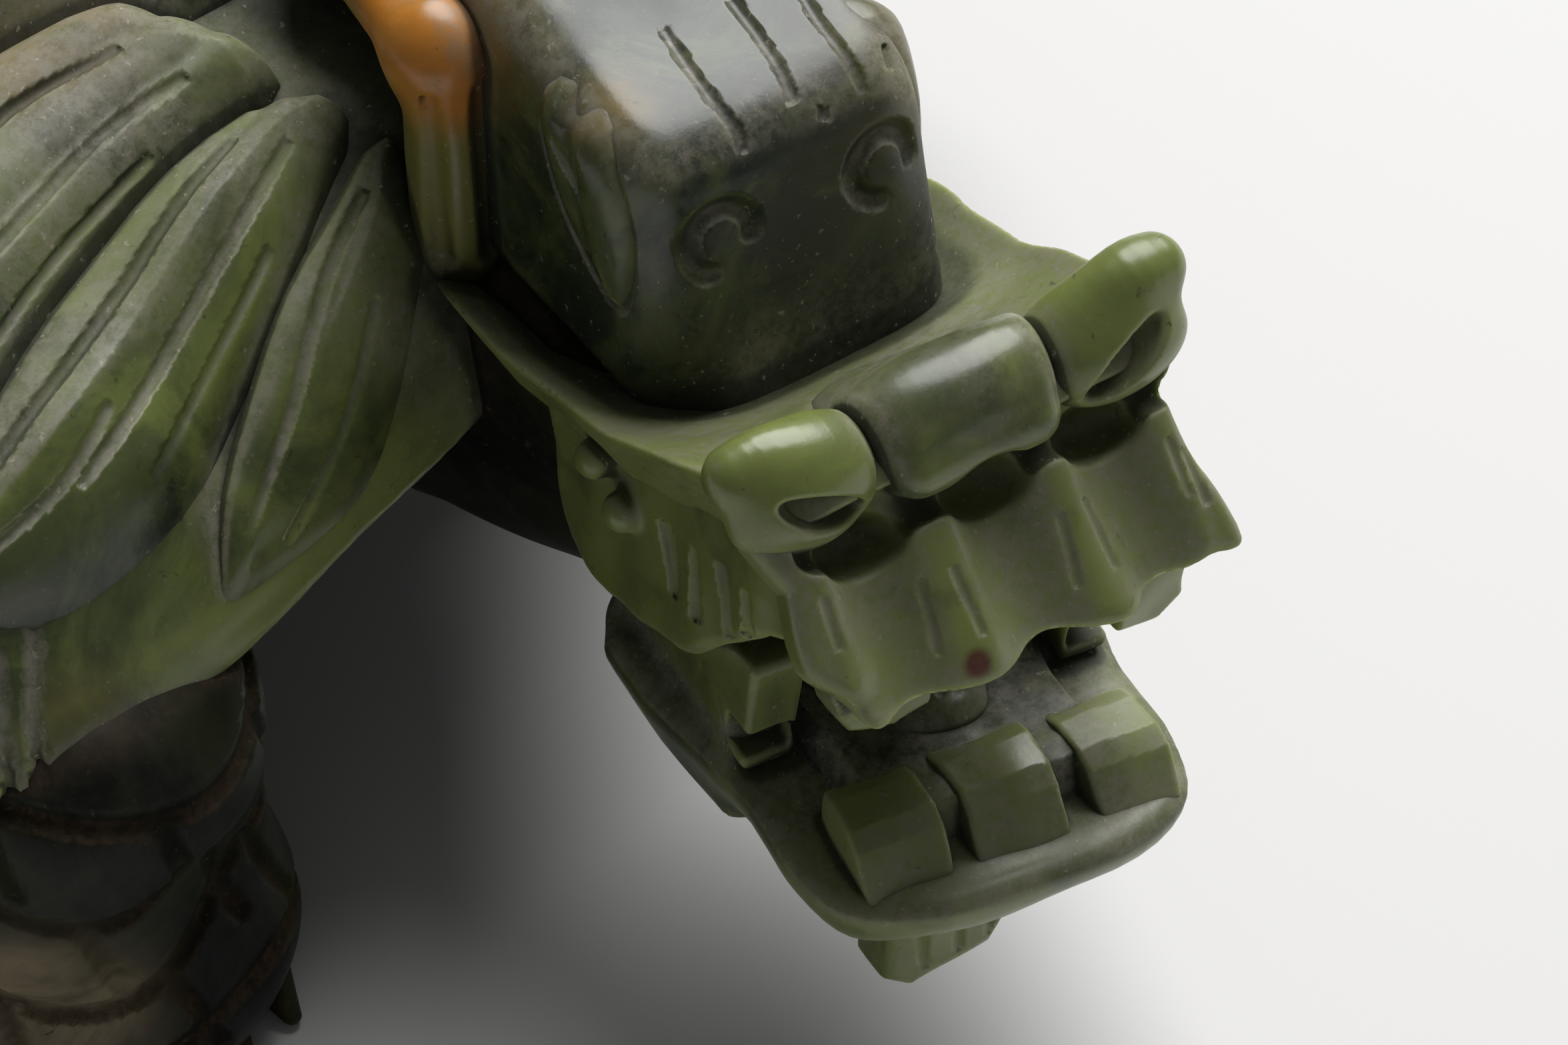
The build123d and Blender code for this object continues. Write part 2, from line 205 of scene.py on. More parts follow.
def outline_distance(u, v, points):
    """Signed distance in a plane to a closed outline, negative inside."""
    nearest = np.full(u.shape, np.inf, np.float32)
    inside = np.zeros(u.shape, bool)
    for (u0, v0), (u1, v1) in zip(points, [*points[1:], points[0]]):
        du, dv = u1 - u0, v1 - v0
        t = np.clip(((u - u0) * du + (v - v0) * dv) / (du * du + dv * dv), 0, 1)
        nearest = np.minimum(nearest, (u - u0 - t * du) ** 2 + (v - v0 - t * dv) ** 2)
        if dv:
            inside ^= ((v0 > v) != (v1 > v)) & (u < u0 + (v - v0) * du / dv)
    return np.where(inside, -1, 1) * np.sqrt(nearest)


def prism(p, outline, axis, low, high, rounding=0.5, edge=0.6):
    """An outline pulled along one axis. The outline's points are in the other two axes' order."""
    across = [k for k in range(3) if k != axis]
    side = outline_distance(p[:, across[0]], p[:, across[1]], outline) - rounding
    ends = np.maximum(p[:, axis] - high, low - p[:, axis])
    return common(side, ends, edge)


def smooth_line(points, pieces=6, closed=False):
    """A Catmull-Rom curve through points, as a list of closely spaced ones."""
    pts = [np.asarray(q, float) for q in points]
    count = len(pts)
    out = []
    for i in range(count if closed else count - 1):
        if closed:
            a, b, c, d = (pts[(i + k) % count] for k in (-1, 0, 1, 2))
        else:
            a, b, c, d = (pts[min(max(i + k, 0), count - 1)] for k in (-1, 0, 1, 2))
        for t in np.arange(pieces) / pieces:
            out.append(0.5 * (2 * b + (c - a) * t + (2 * a - 5 * b + 4 * c - d) * t**2
                              + (3 * b - a - 3 * c + d) * t**3))
    if not closed:
        out.append(pts[-1])
    return out


def path_distance(p, points):
    """Distance to a line through points, and how far along it the nearest place is, 0 to 1."""
    nearest = np.full(len(p), np.inf, np.float32)
    along = np.zeros(len(p), np.float32)
    spans = len(points) - 1
    for i in range(spans):
        a = np.asarray(points[i], np.float32)
        ab = np.asarray(points[i + 1], np.float32) - a
        t = np.clip((p - a) @ ab / max(float(ab @ ab), 1e-9), 0, 1)
        d = ((p - a - t[:, None] * ab) ** 2).sum(axis=1)
        closer = d < nearest
        nearest = np.where(closer, d, nearest)
        along = np.where(closer, (i + t) / spans, along)
    return np.sqrt(nearest), along


def hand_finish(p, size=0.14, wave=7.0):
    """The slow unevenness that hand grinding and polishing leave in a surface."""
    x, y, z = (p / wave).T
    return size * (np.sin(2.1 * x + 1.3 * z + 0.4) * np.cos(1.7 * y - 0.9 * x)
                   + 0.6 * np.sin(3.1 * z - 1.9 * y + 1.1) * np.cos(2.7 * x + 0.7 * y))


SIDES = ((1, "left"), (-1, "right"))


def mirrored(point_list, side):
    """The same places on the animal's left (1) or right (-1)."""
    return [(side * q[0], *q[1:]) for q in point_list]


def side_box(side, inner, outer, low, high):
    """The corners of a box on one side, between two distances out and two (backwards, up) pairs."""
    near, far = sorted((side * inner, side * outer))
    return (near, *low), (far, *high)


# Carvings ----------------------------------------------------------------------------------

def gradient(shape, p, step=0.05):
    """Which way a shape's distance grows, by small differences."""
    slopes = []
    for axis in range(3):
        d = np.zeros(3, np.float32)
        d[axis] = step
        slopes.append((shape(p + d) - shape(p - d)) / (2 * step))
    return np.stack(slopes, axis=1)


def settle(points, shape, rounds=6):
    """Moves points onto a shape's surface."""
    p = np.asarray(points, np.float32)
    for _ in range(rounds):
        slope = gradient(shape, p)
        steep = np.maximum((slope * slope).sum(axis=1, keepdims=True), 0.05)
        p = p - shape(p)[:, None] * slope / steep
    return p


class Carving:
    """One carved mass: its rough shape, the box that holds it, and the cuts in its surface."""

    made = []

    def __init__(self, node, rough, low, high, step=0.4, slot="jade", frame=HEAD):
        self.node, self.rough, self.step = node, rough, step
        self.low, self.high = np.array(low, float), np.array(high, float)
        self.slot, self.frame = slot, frame
        self.cuts = []
        Carving.made.append(self)

    def cut(self, path, width, depth, taper=True):
        """One pass of a small wheel along a path laid on the surface, shallower at its ends."""
        line = settle(smooth_line(path, 5), self.rough)
        reach = width + 0.2
        self.cuts.append((line, width, depth, taper, line.min(0) - reach, line.max(0) + reach))

    def groove(self, p, as_share=False):
        """How deep the cuts go at each point, in millimetres, or as a share of their depth."""
        total = np.zeros(len(p), np.float32)
        for line, width, depth, taper, low, high in self.cuts:
            near = np.nonzero(((p > low) & (p < high)).all(axis=1))[0]
            if not len(near):
                continue
            off, along = path_distance(p[near], line)
            profile = np.clip(1 - off / (0.6 * width), 0, 1)
            profile = profile * profile * (3 - 2 * profile)
            if taper:
                profile = profile * np.sqrt(np.clip(1 - (2 * along - 1) ** 4, 0, 1))
            total[near] = np.maximum(total[near], profile if as_share else depth * profile)
        return total

    def distance(self, p):
        d = self.rough(p)
        return d + self.groove(p) if self.cuts else d


def sampled(shape, low, high, step):
    """A shape's values on a grid of corners: true near its surface, only the sign further away."""
    counts = (np.ceil((np.asarray(high) - low) / step) + 3).astype(int)
    coarse = 4
    blocks = (counts + coarse - 1) // coarse + 1
    grid = np.stack(np.meshgrid(*(np.arange(n) for n in blocks), indexing="ij"), -1).reshape(-1, 3)
    centres = (low + (grid + 0.5) * coarse * step).astype(np.float32)
    rough = in_chunks(shape, centres)
    half_diagonal = 0.5 * math.sqrt(3) * coarse * step
    active = grid[np.abs(rough) < half_diagonal * 1.25 + 0.4]

    size = blocks * coarse + 1
    values = np.empty(size, np.float32)
    sign = np.where(rough.reshape(blocks) < 0, -1.0, 1.0).astype(np.float32)
    for axis in range(3):
        sign = np.repeat(sign, coarse, axis=axis)
    values[:-1, :-1, :-1] = sign
    values[-1], values[:, -1], values[:, :, -1] = 1, 1, 1

    wanted = np.zeros(size, bool)
    for offset in np.ndindex(*[coarse + 1] * 3):
        at = active * coarse + offset
        wanted[at[:, 0], at[:, 1], at[:, 2]] = True
    points = (low + np.argwhere(wanted) * step).astype(np.float32)
    values[wanted] = in_chunks(shape, points)
    return values


def crossed_cells(inside):
    """The cells that the surface passes through, and each one's number, or -1."""
    size = inside.shape
    total = np.zeros([n - 1 for n in size], np.int8)
    for dx, dy, dz in np.ndindex(2, 2, 2):
        total += inside[dx:size[0] - 1 + dx, dy:size[1] - 1 + dy, dz:size[2] - 1 + dz]
    mixed = (total > 0) & (total < 8)
    cell = np.argwhere(mixed)
    number = np.full(mixed.shape, -1, np.int64)
    number[mixed] = np.arange(len(cell))
    return cell, number


def cell_points(values, cell):
    """One point in each crossed cell: the mean of where the surface crosses its edges."""
    position = np.zeros((len(cell), 3))
    hits = np.zeros(len(cell))
    for axis in range(3):
        others = [k for k in range(3) if k != axis]
        for du, dv in np.ndindex(2, 2):
            a = cell.copy()
            a[:, others[0]] += du
            a[:, others[1]] += dv
            b = a.copy()
            b[:, axis] += 1
            va, vb = values[tuple(a.T)], values[tuple(b.T)]
            crossing = (va < 0) != (vb < 0)
            t = np.where(crossing, va / np.where(crossing, va - vb, 1), 0)
            place = a.astype(float)
            place[:, axis] += t
            position += np.where(crossing[:, None], place, 0)
            hits += crossing
    return position / hits[:, None]


def cell_quads(inside, number):
    """A quad between the four cells round every grid edge that the surface crosses."""
    faces = []
    for axis in range(3):
        u, v = (axis + 1) % 3, (axis + 2) % 3
        lead = [slice(1, -1)] * 3
        lead[axis] = slice(0, -1)
        follow = list(lead)
        follow[axis] = slice(1, None)
        a, b = inside[tuple(lead)], inside[tuple(follow)]
        offset = np.ones(3, int)
        offset[axis] = 0
        for first, second, flip in ((a, b, False), (b, a, True)):
            edge = np.argwhere(first & ~second) + offset
            quad = []
            for du, dv in ((-1, -1), (0, -1), (0, 0), (-1, 0)):
                c = edge.copy()
                c[:, u] += du
                c[:, v] += dv
                quad.append(number[tuple(c.T)])
            faces.append(np.stack(quad[::-1] if flip else quad, axis=1))
    faces = np.concatenate(faces)
    return faces[(faces >= 0).all(axis=1)]


def surface(shape, low, high, step):
    """A closed quad mesh of a shape's surface: one point in every cell that it crosses."""
    low = np.asarray(low, float) - 2 * step
    values = sampled(shape, low, high, step)
    inside = values < 0
    cell, number = crossed_cells(inside)
    p = (low + cell_points(values, cell) * step).astype(np.float32)
    for _ in range(2):
        d = in_chunks(shape, p)
        slope = in_chunks(lambda q: gradient(shape, q), p)
        steep = np.maximum((slope * slope).sum(axis=1, keepdims=True), 0.2)
        move = d[:, None] * slope / steep
        far = length(move)[:, None]
        p = p - move * np.minimum(1, 0.5 * step / np.maximum(far, 1e-6))
    return p, cell_quads(inside, number)


def in_chunks(shape, p, size=200_000):
    """A shape's values at many points, a batch at a time."""
    return np.concatenate([shape(p[i:i + size]) for i in range(0, len(p), size)])


# Head --------------------------------------------------------------------------------------

BROW_HALF = 10.8
EYE_SPREAD, EYE_RADIUS = 5.9, 2.3


def cranium_block(p):
    """The brow: a cushion-like block whose face leans back."""
    top = half_space(p, (0, 17, 7.3), (0, -0.06, 1))
    face = half_space(p, (0, 14.4, -6.5), (0.01, -1, 0.20))
    d = common(top, face, 4.5)
    d = common(d, p[:, 0] - BROW_HALF, 5.0)
    d = common(d, -p[:, 0] - BROW_HALF, 4.0)
    d = common(d, half_space(p, (-10.8, 18.5, 0), (-1, -0.95, 0.05)), 1.2)
    d = common(d, p[:, 1] - 44, 2)
    d = common(d, -13.5 - p[:, 2], 2)
    return d + hand_finish(p, 0.12)


cranium = Carving("cranium", cranium_block, (-12.5, 12, -15), (12.5, 46, 11), 0.3)
for side in (-1, 1):
    eye_x = side * EYE_SPREAD + 0.2
    turns = np.radians(np.linspace(-10, 250, 17))
    eye_ring = [(eye_x + EYE_RADIUS * math.cos(a), 15.5, 0.9 + EYE_RADIUS * math.sin(a)) for a in turns]
    cranium.cut(eye_ring, 1.6, 1.6, taper=False)
HAIR_CUTS = [
    [(-2.6, 27, 8), (-3.2, 21, 8), (-2.9, 17.5, 7.6), (-3.3, 14.8, 6.8)],
    [(2.2, 27, 8), (1.9, 23, 8), (1.2, 17.7, 7.5)],
    [(6.4, 27, 8), (5.6, 22, 8), (5.8, 18, 7.6), (5.8, 14.7, 7)],
    [(9.0, 19.5, 7), (8.7, 17.5, 6.6)],
    [(2.9, 16.5, 7), (2.6, 14.6, 6.2)],
]
for line in HAIR_CUTS:
    cranium.cut(line, 0.85, 0.8)


# The ear's leaf on the brow's rounded edge: (backwards, up).
EAR_OUTLINE = [
    (27.5, 7.5), (28.0, 3.5), (26.0, -1.0), (22.5, -4.5), (19.5, -5.5), (18.2, -2.0), (18.6, 3.0),
    (21.5, 7.5),
]
EAR_RING = smooth_line(EAR_OUTLINE, 3, True)


def ear_block(side):
    """A leaf raised a little from the side of the brow, with a hollow along it."""
    def shape(p):
        leaf = outline_distance(p[:, 1], p[:, 2], EAR_RING)
        from_fold = p[:, 1] - 22.8 - 0.25 * p[:, 2]
        swell = 0.75 * np.clip(-leaf / 2.2, 0, 1) - 0.5 * np.exp(-(from_fold / 1.1) ** 2)
        d = common(cranium_block(p) - swell, leaf, 1.0)
        return common(d, 7.5 - side * p[:, 0], 0.5)
    return shape


for side, name in SIDES:
    ear = Carving(f"ear_{name}", ear_block(side), *side_box(side, 7, 13, (16, -7), (30, 10)), 0.3)
    cranium.cut([(side * 11, y, z) for y, z in EAR_OUTLINE[1:]], 0.9, 0.5)
    ear.cut([(side * 11, 25.5, 4.5), (side * 11, 22.5, 1.0), (side * 11, 20.5, -3.5)], 0.8, 0.35)


def horn_block(side):
    """A fluted stub behind the brow that bends back at its top."""
    def shape(p):
        stub = rod(p, (side * 12.0, 37.0, -13), (side * 12.2, 37.0, 2.5), 3.1, 2.7)
        sweep = rod(p, (side * 12.2, 38.0, 3.0), (side * 12.6, 46.0, 2.0), 3.0, 1.8)
        d = union(stub, sweep, 3)
        for turn in (-0.9, 0.35):
            flute = rod(p, (side * 12.1 + 3.1 * math.sin(turn), 37 - 3.1 * math.cos(turn), -12),
                        (side * 12.1 + 2.9 * math.sin(turn), 37 - 2.9 * math.cos(turn), 1.5), 0.75, 0.5)
            d = without(d, flute, 0.9)
        return d + hand_finish(p, 0.12, 5)
    return shape


for side, name in SIDES:
    room = side_box(side, 8, 17, (32, -17), (55, 9))
    Carving(f"horn_{name}", horn_block(side), *room, 0.35, "jade_skin")

# The muzzle's side rims: (backwards, up).
RIM_LINE = [
    (-1, 1.0), (2.5, -1.5), (6.3, -3.9), (14, -8.3), (21.9, -10.8), (27, -12.4), (34.9, -12.6), (45, -14),
]


def rim_height(p):
    """Height of the muzzle's sharp side rims, which fall towards the shell."""
    return np.interp(p[:, 1], *zip(*RIM_LINE)).astype(np.float32)


# The sloping face under the nose, and its own axes: left, down, out.
FACE_POINT = vec(0, -3.6, -5.0)
FACE_AXES = np.array([[1, 0, 0], [0, -0.622, -0.783], [0, -0.783, 0.622]], np.float32)

# The ragged edge of the upper lip, drawn on the sloping face under the nose: (left, down).
LIP_OUTLINE = [
    (-13.2, -3.0), (-14.0, 1.8), (-14.6, 5.0), (-14.4, 7.2), (-12.6, 8.9), (-10.8, 8.9), (-8.6, 8.8),
    (-7.0, 9.7), (-5.2, 11.0), (-3.6, 11.1), (-1.8, 9.6), (0.3, 9.3), (2.8, 10.3), (4.8, 11.5), (6.2, 11.4),
    (7.4, 10.2), (9.4, 9.6), (11.4, 10.1), (13.6, 11.3), (14.9, 10.9), (14.3, 7.5), (13.3, 4.4), (13.0, 1.0),
    (13.2, -3.0),
]
LIP_RING = smooth_line(LIP_OUTLINE, 3, True)
# Each flute between two lobes of the lip: how far left it is, and how wide.
FLUTES = [(-8.6, 2.5), (0.2, 2.7), (8.2, 2.5)]


def on_face(p):
    """Points in the frame of the sloping face: left, down, out."""
    return (p - FACE_POINT) @ FACE_AXES.T


def from_face(left, down, out=0.3):
    """A place on the sloping face under the nose, in the head's frame."""
    return tuple(FACE_POINT + vec(left, down, out) @ FACE_AXES)


def lip_pits(q):
    """Three deep pits in a row, high on the sloping face, one at the top of each flute."""
    d = np.full(len(q), 50, np.float32)
    for at, _ in FLUTES:
        d = union(d, egg(q, (at, 1.1, -0.8), (2.8, 1.9, 3.6)))
    return d


def saddle(p):
    """The dished top of the muzzle, between its rims."""
    across = np.clip(np.abs(p[:, 0]) / 15.4, 0, 1.2)
    dish = 2.3 + 2.2 * np.clip((p[:, 1] - 8) / 12, 0, 1)
    floor = rim_height(p) - dish * (1 - across**3)
    return (p[:, 2] - floor) * 0.88


def muzzle_block(p):
    """The bridge, dished between its rims, and the sloping, fluted face down to the lip."""
    x, y, z = p.T
    top = saddle(p)
    below_rim = np.maximum(rim_height(p) - z, 0)
    side = (np.abs(x) - 15.6 + 0.45 * np.minimum(below_rim, 7)) * 0.9
    palate = (-14.5 - 0.12 * np.clip(y, 0, 30)) - z
    face = half_space(p, FACE_POINT, FACE_AXES[2])
    d = common(top, side, 0.9)
    d = common(d, face, 1.5)
    d = common(d, palate, 1.2)
    d = common(d, y - 36, 2)
    q = on_face(p)
    plate = prism(q, LIP_RING, 2, -2.9, 0.0, 0.0, 1.1)
    d = union(d, plate, 1.2)
    for at, wide in FLUTES:
        flute = rod(q, (at, 1.4, 0.9), (at * 1.05, 9.5, 2.3), wide, wide + 0.7)
        d = without(d, flute, 1.4)
    d = without(d, lip_pits(q), 0.6)
    shelf = rod(q, (-11.5, -0.2, -0.3), (12.0, -0.2, -0.3), 1.4, 1.4)
    d = without(d, shelf, 0.6)
    return d + hand_finish(p, 0.07, 4)


muzzle = Carving("muzzle", muzzle_block, (-17.5, -14, -20), (17.5, 37, 3), 0.28)
for at in (-5.0, 5.0):
    for shift in (-1.3, 1.0):
        ways = ((1.0, 4.2), (1.2, 6.6), (1.4, 9.0))
        muzzle.cut([from_face(at + spread * shift, down) for spread, down in ways], 0.75, 0.4)
for at, start, end in ((-12.2, 2.5, 6.0), (12.0, 3.0, 7.0), (12.9, 4.0, 8.0)):
    muzzle.cut([from_face(at, start), from_face(at * 1.02, end)], 0.8, 0.35)


def nose_bar(p):
    """The bridge of the nose: a bar bowed up in the middle, which swells into the face below."""
    arc = [(-5.9, 0.9, -2.6), (-3, 0.1, -1.5), (0, -0.3, -1.1), (3, 0.1, -1.3), (5.9, 0.9, -2.2)]
    d, _ = path_distance(p, smooth_line(arc, 4))
    d = d - 2.3
    front = block(p, (0, -1.5, -3.4), (5.9, 2.5, 2.6), 2.0, FACE_AXES)
    d = union(d, front, 2.0)
    d = union(d, rod(p, (0, 1.0, -2.2), (0, 6.5, -8.6), 2.6, 3.0, (0.5, 1, 1)), 2.5)
    d = common(d, np.abs(p[:, 0]) - 6.4, 0.9)
    d = without(d, lip_pits(on_face(p)) - 0.3, 0.5)
    return d + hand_finish(p, 0.08, 4)


nose = Carving("nose_bridge", nose_bar, (-8, -7, -9), (8, 9, 3.2), 0.26)


def nostril_wing(side):
    """A nostril: a lobed wing with a leaf-shaped slit; the left one stands higher."""
    lift = 1.1 if side > 0 else 0.0

    def shape(p):
        q = p * vec(side, 1, 1)
        spine = [
            (7.2, 0.6, -2.6), (9.5, 0.4, 0.4 * lift - 1.2), (12.6, 0.2, lift - 0.3), (14.6, 0.3, lift - 0.4),
        ]
        line, along = path_distance(q, smooth_line(spine, 4))
        d = line - (2.3 - 0.3 * along)
        pad = egg(q, (11.0, -1.2, -3.0), (5.0, 2.6, 3.4))
        d = union(d, pad, 1.8)
        d = common(d, 6.2 - q[:, 0], 0.9)
        slit = egg_along(q, (7.6, -4.3, -4.4), (13.6, -2.9, -0.9 + 0.7 * lift), 1.15, 2.6)
        return without(d, slit, 0.5) + hand_finish(p, 0.08, 4)
    return shape


for side, name in SIDES:
    room = side_box(side, 5, 17.5, (-6, -8), (4.5, 4.5))
    Carving(f"nostril_{name}", nostril_wing(side), *room, 0.26)

# The side of the upper jaw: (backwards, up).
CHEEK_OUTLINE = [
    (-7, -9), (-5.8, -12.2), (-4.2, -13.1), (0.1, -14.8), (3.5, -19.0), (7.0, -22.8), (10.2, -25.0),
    (16.6, -27.0), (21.5, -26.0), (23.5, -19.0), (26, -14.5), (14, -10.5), (4, -7),
]


def cheek_block(side):
    """The side of the upper jaw under the muzzle's rim, with two knobs behind."""
    def shape(p):
        q = p * vec(side, 1, 1)
        flare = 1.2 * np.clip((-12 - q[:, 2]) / 12, 0, 1)
        outer = (q[:, 0] - 12.7 - flare - 0.18 * np.sin(q[:, 1] * 1.1)) * 0.97
        d = outline_distance(q[:, 1], q[:, 2], CHEEK_OUTLINE) - 0.3
        d = common(d, outer, 1.3)
        d = common(d, 5 - q[:, 0], 1)
        d = common(d, half_space(q, FACE_POINT, FACE_AXES[2]) + 1.8, 1.0)
        d = without(d, lip_pits(on_face(p)) - 0.3, 0.5)
        d = common(d, saddle(p) + 1.2, 0.5)
        for at in ((13.9, 14.5, -17.0), (13.9, 17.5, -14.8)):
            d = union(d, ball(q, at, 1.3), 0.9)
        return d + hand_finish(p, 0.15, 4)
    return shape


for side, name in SIDES:
    room = side_box(side, 4, 16.5, (-9, -29), (28, -4))
    cheek = Carving(f"cheek_{name}", cheek_block(side), *room, 0.32)
    for start in (11.0, 8.0, 5.0, 2.0):
        top = (side * 14, start, -12.0 - 0.3 * start)
        bottom = (side * 14, start - 1.6, -18.0 - 0.2 * start)
        cheek.cut([top, bottom], 1.2, 0.8)


# Each fang as seen from the front, on the animal's right (-1) and left (1).
FANG_OUTLINES = {
    -1: [(-12.8, -10), (-12.4, -15.4), (-11.6, -17.0), (-8.4, -18.8), (-6.2, -18.0), (-5.8, -10)],
    1: [(7.8, -11), (8.2, -16.2), (8.4, -21.2), (11.2, -21.6), (12.8, -20.4), (12.4, -16.0), (12.2, -11)],
}


def fang_block(side):
    """A broken-off fang under the lip."""
    def shape(p):
        d = prism(p, FANG_OUTLINES[side], 1, -8.6, -4.6, 0.25, 0.8)
        d = common(d, half_space(p, (0, -8.1, -13), (0, -0.98, -0.12)), 0.5)
        return common(d, half_space(p, FACE_POINT, FACE_AXES[2]) + 2.4, 0.5) + hand_finish(p, 0.1, 3)
    return shape


for side, name in SIDES:
    room = side_box(side, 5, 14, (-10, -22.5), (-5, -10))
    Carving(f"upper_fang_{name}", fang_block(side), *room, 0.26)

# The lower jaw was carved askew: turned a little forward and down on the animal's left.
JAW_YAW, JAW_ROLL = math.radians(5), math.radians(5)
JAW_ORIGIN = vec(0.5, -5.3, -30.2)
JAW_AXES = np.array([
    [math.cos(JAW_YAW) * math.cos(JAW_ROLL), -math.sin(JAW_YAW), -math.sin(JAW_ROLL)],
    [math.sin(JAW_YAW), math.cos(JAW_YAW), 0],
    [math.cos(JAW_YAW) * math.sin(JAW_ROLL), -math.sin(JAW_YAW) * math.sin(JAW_ROLL), math.cos(JAW_ROLL)],
], np.float32)


def in_jaw(p):
    """Points in the jaw's own frame: its origin is the middle of the front teeth's back edge."""
    return (p - JAW_ORIGIN) @ JAW_AXES.T


def from_jaw(x, y, z):
    """A place given in the jaw's frame, in the carving's frame."""
    return tuple(JAW_ORIGIN + vec(x, y, z) @ JAW_AXES)


# The lower jaw from above: (left, backwards).
JAW_OUTLINE = [
    (-14.2, 26), (-14.2, 6), (-14.2, 0), (-12.6, -4.8), (-8, -7.2), (0, -7.8), (8, -7.2), (12.6, -4.8),
    (14.2, 0), (14.2, 6), (14.2, 26),
]
JAW_RING = smooth_line(JAW_OUTLINE, 4, True)
JAW_SIDE = [(9.5, -2.5), (12.0, 2.0), (17, 5.5), (27, 7), (27, -9), (9.5, -9)]
TOOTH_PROFILE = [
    (2.6, -1.0), (1.4, -0.5), (-1.2, -0.4), (-2.6, -1.1), (-4.8, -3.6), (-4.6, -4.8), (2.6, -4.8),
]


def jaw_block(p):
    """The scoop of the lower jaw: a rim round the teeth, a mouth floor behind them, and the two sides."""
    q = in_jaw(p)
    x, y, z = q.T
    plan = outline_distance(x, y, JAW_RING)
    wall = plan + 0.42 * np.clip(-z - 4.0, 0, 8)
    lip = z + 3.3 - 2.5 * np.clip((-plan - 5.4) / 1.2, 0, 1)
    d = common(wall, lip * 0.85, 2.2)
    d = common(d, -z - 9.4 - 0.06 * np.clip(y, 0, 30), 4.0)
    rise = prism(q, JAW_SIDE, 0, -13.4, 13.4, 0.4, 1.5)
    d = union(d, rise, 1.5)
    d = without(d, block(q, (0, 12.5, 2.5), (10.0, 11.5, 3.4), 1.2), 1.0)
    for at in (-6.2, 1.6, 8.8):
        d = without(d, rod(q, (at, 2.6, 2.6), (at * 0.8, 18, 2.6), 3.7, 4.4), 0.35)
    d = common(d, y - 26, 2)
    return d + hand_finish(p, 0.1, 5)


jaw = Carving("lower_jaw", jaw_block, (-17, -15, -42), (17.5, 23, -22), 0.3)


def tooth_block(centre, half, turn):
    """One broad front tooth: a level top, a sloping face, and a slot on either side."""
    def shape(p):
        q = in_jaw(p)
        d = prism(q, TOOTH_PROFILE, 0, centre - half, centre + half, 0.1, 0.5)
        ends = np.abs(q[:, 0] - centre - turn * (q[:, 1] + 1)) - half
        return common(d, ends, 0.5) + hand_finish(p, 0.1, 3)
    return shape


# Each front tooth: how far left its middle is, half its width, and how much it turns.
TEETH = {"right": (-7.8, 3.2, 0.12), "middle": (0.2, 3.5, 0.02), "left": (8.4, 3.2, -0.1)}
for name, (centre, half, turn) in TEETH.items():
    middle = np.array(from_jaw(centre, -1, -2))
    reach = (5, 4.5, 4)
    Carving(f"lower_tooth_{name}", tooth_block(centre, half, turn), middle - reach, middle + reach, 0.26)


def side_tooth(side):
    """A tall block of teeth at the corner of the mouth, notched in front."""
    def shape(p):
        q = in_jaw(p) * vec(side, 1, 1)
        d = block(q, (11.4, 11.2, 1.6), (1.9, 3.6, 4.6), 0.6)
        d = without(d, block(q, (13.5, 8.6, -0.8), (3.5, 1.6, 1.0), 0.4), 0.4)
        return d + hand_finish(p, 0.1, 4)
    return shape


for side, name in SIDES:
    middle = np.array(from_jaw(side * 11.4, 11, 1.6))
    Carving(f"side_teeth_{name}", side_tooth(side), middle - (4, 6, 7), middle + (4, 6, 7), 0.3)


def tongue_block(p):
    """A flat tongue that widens and rises towards the throat."""
    q = in_jaw(p)
    d = rod(q, (-0.5, 6, -1.9), (0, 20, 0.5), 2.2, 5.0, (0.62, 1, 1))
    return d + hand_finish(p, 0.12, 4)


tongue = Carving("tongue", tongue_block, (-7, -2, -35), (8, 22, -20), 0.35)
tongue.cut([from_jaw(-0.4, 5.5, 1), from_jaw(-0.2, 9, 1.5), from_jaw(0, 14, 2.5)], 0.9, 0.5)


BEARD_OUTLINE = [(-6.8, -34), (-7.2, -46.6), (-5.4, -48.6), (0.6, -48.2), (2.4, -45.5), (2.6, -34)]


def beard_block(p):
    """A flat tuft that hangs under the chin."""
    d = prism(p, BEARD_OUTLINE, 1, -5.8, -2.0, 0.3, 0.9)
    return d + hand_finish(p, 0.12, 4)


beard = Carving("beard", beard_block, (-9, -8, -50.5), (5, 0, -32), 0.35)
for at in (-2.6, 0.2, 2.8):
    beard.cut([(at - 2, -6, -38), (at * 1.1 - 2, -6, -43), (at * 0.9 - 2, -6, -47.5)], 0.9, 0.45)


def neck_block(p):
    """The neck and chest, from the turned head back into the body."""
    nape = HEAD_WAY * 25 + (0, 0, -20)
    throat = HEAD_WAY * 24 + (0, 0, -27)
    d = rod(p, nape, (0, 4, -25), 10.5, 17.0)
    d = union(d, rod(p, throat, (0, 6, -33), 8.0, 15.0), 4)
    top = 5 * np.clip((p[:, 1] + 10) / 8, 0, 1) - 14
    d = common(d, p[:, 2] - top, 2)
    return common(d, p[:, 1] - 12, 2) + hand_finish(p, 0.3, 9)


# The neck takes the near-black jade: painted shade for a part in shadow under the head and shell.
Carving("neck", neck_block, (-26, -36, -50), (26, 13, -6), 0.6, "jade_dark", BODY)

# Shell -------------------------------------------------------------------------------------

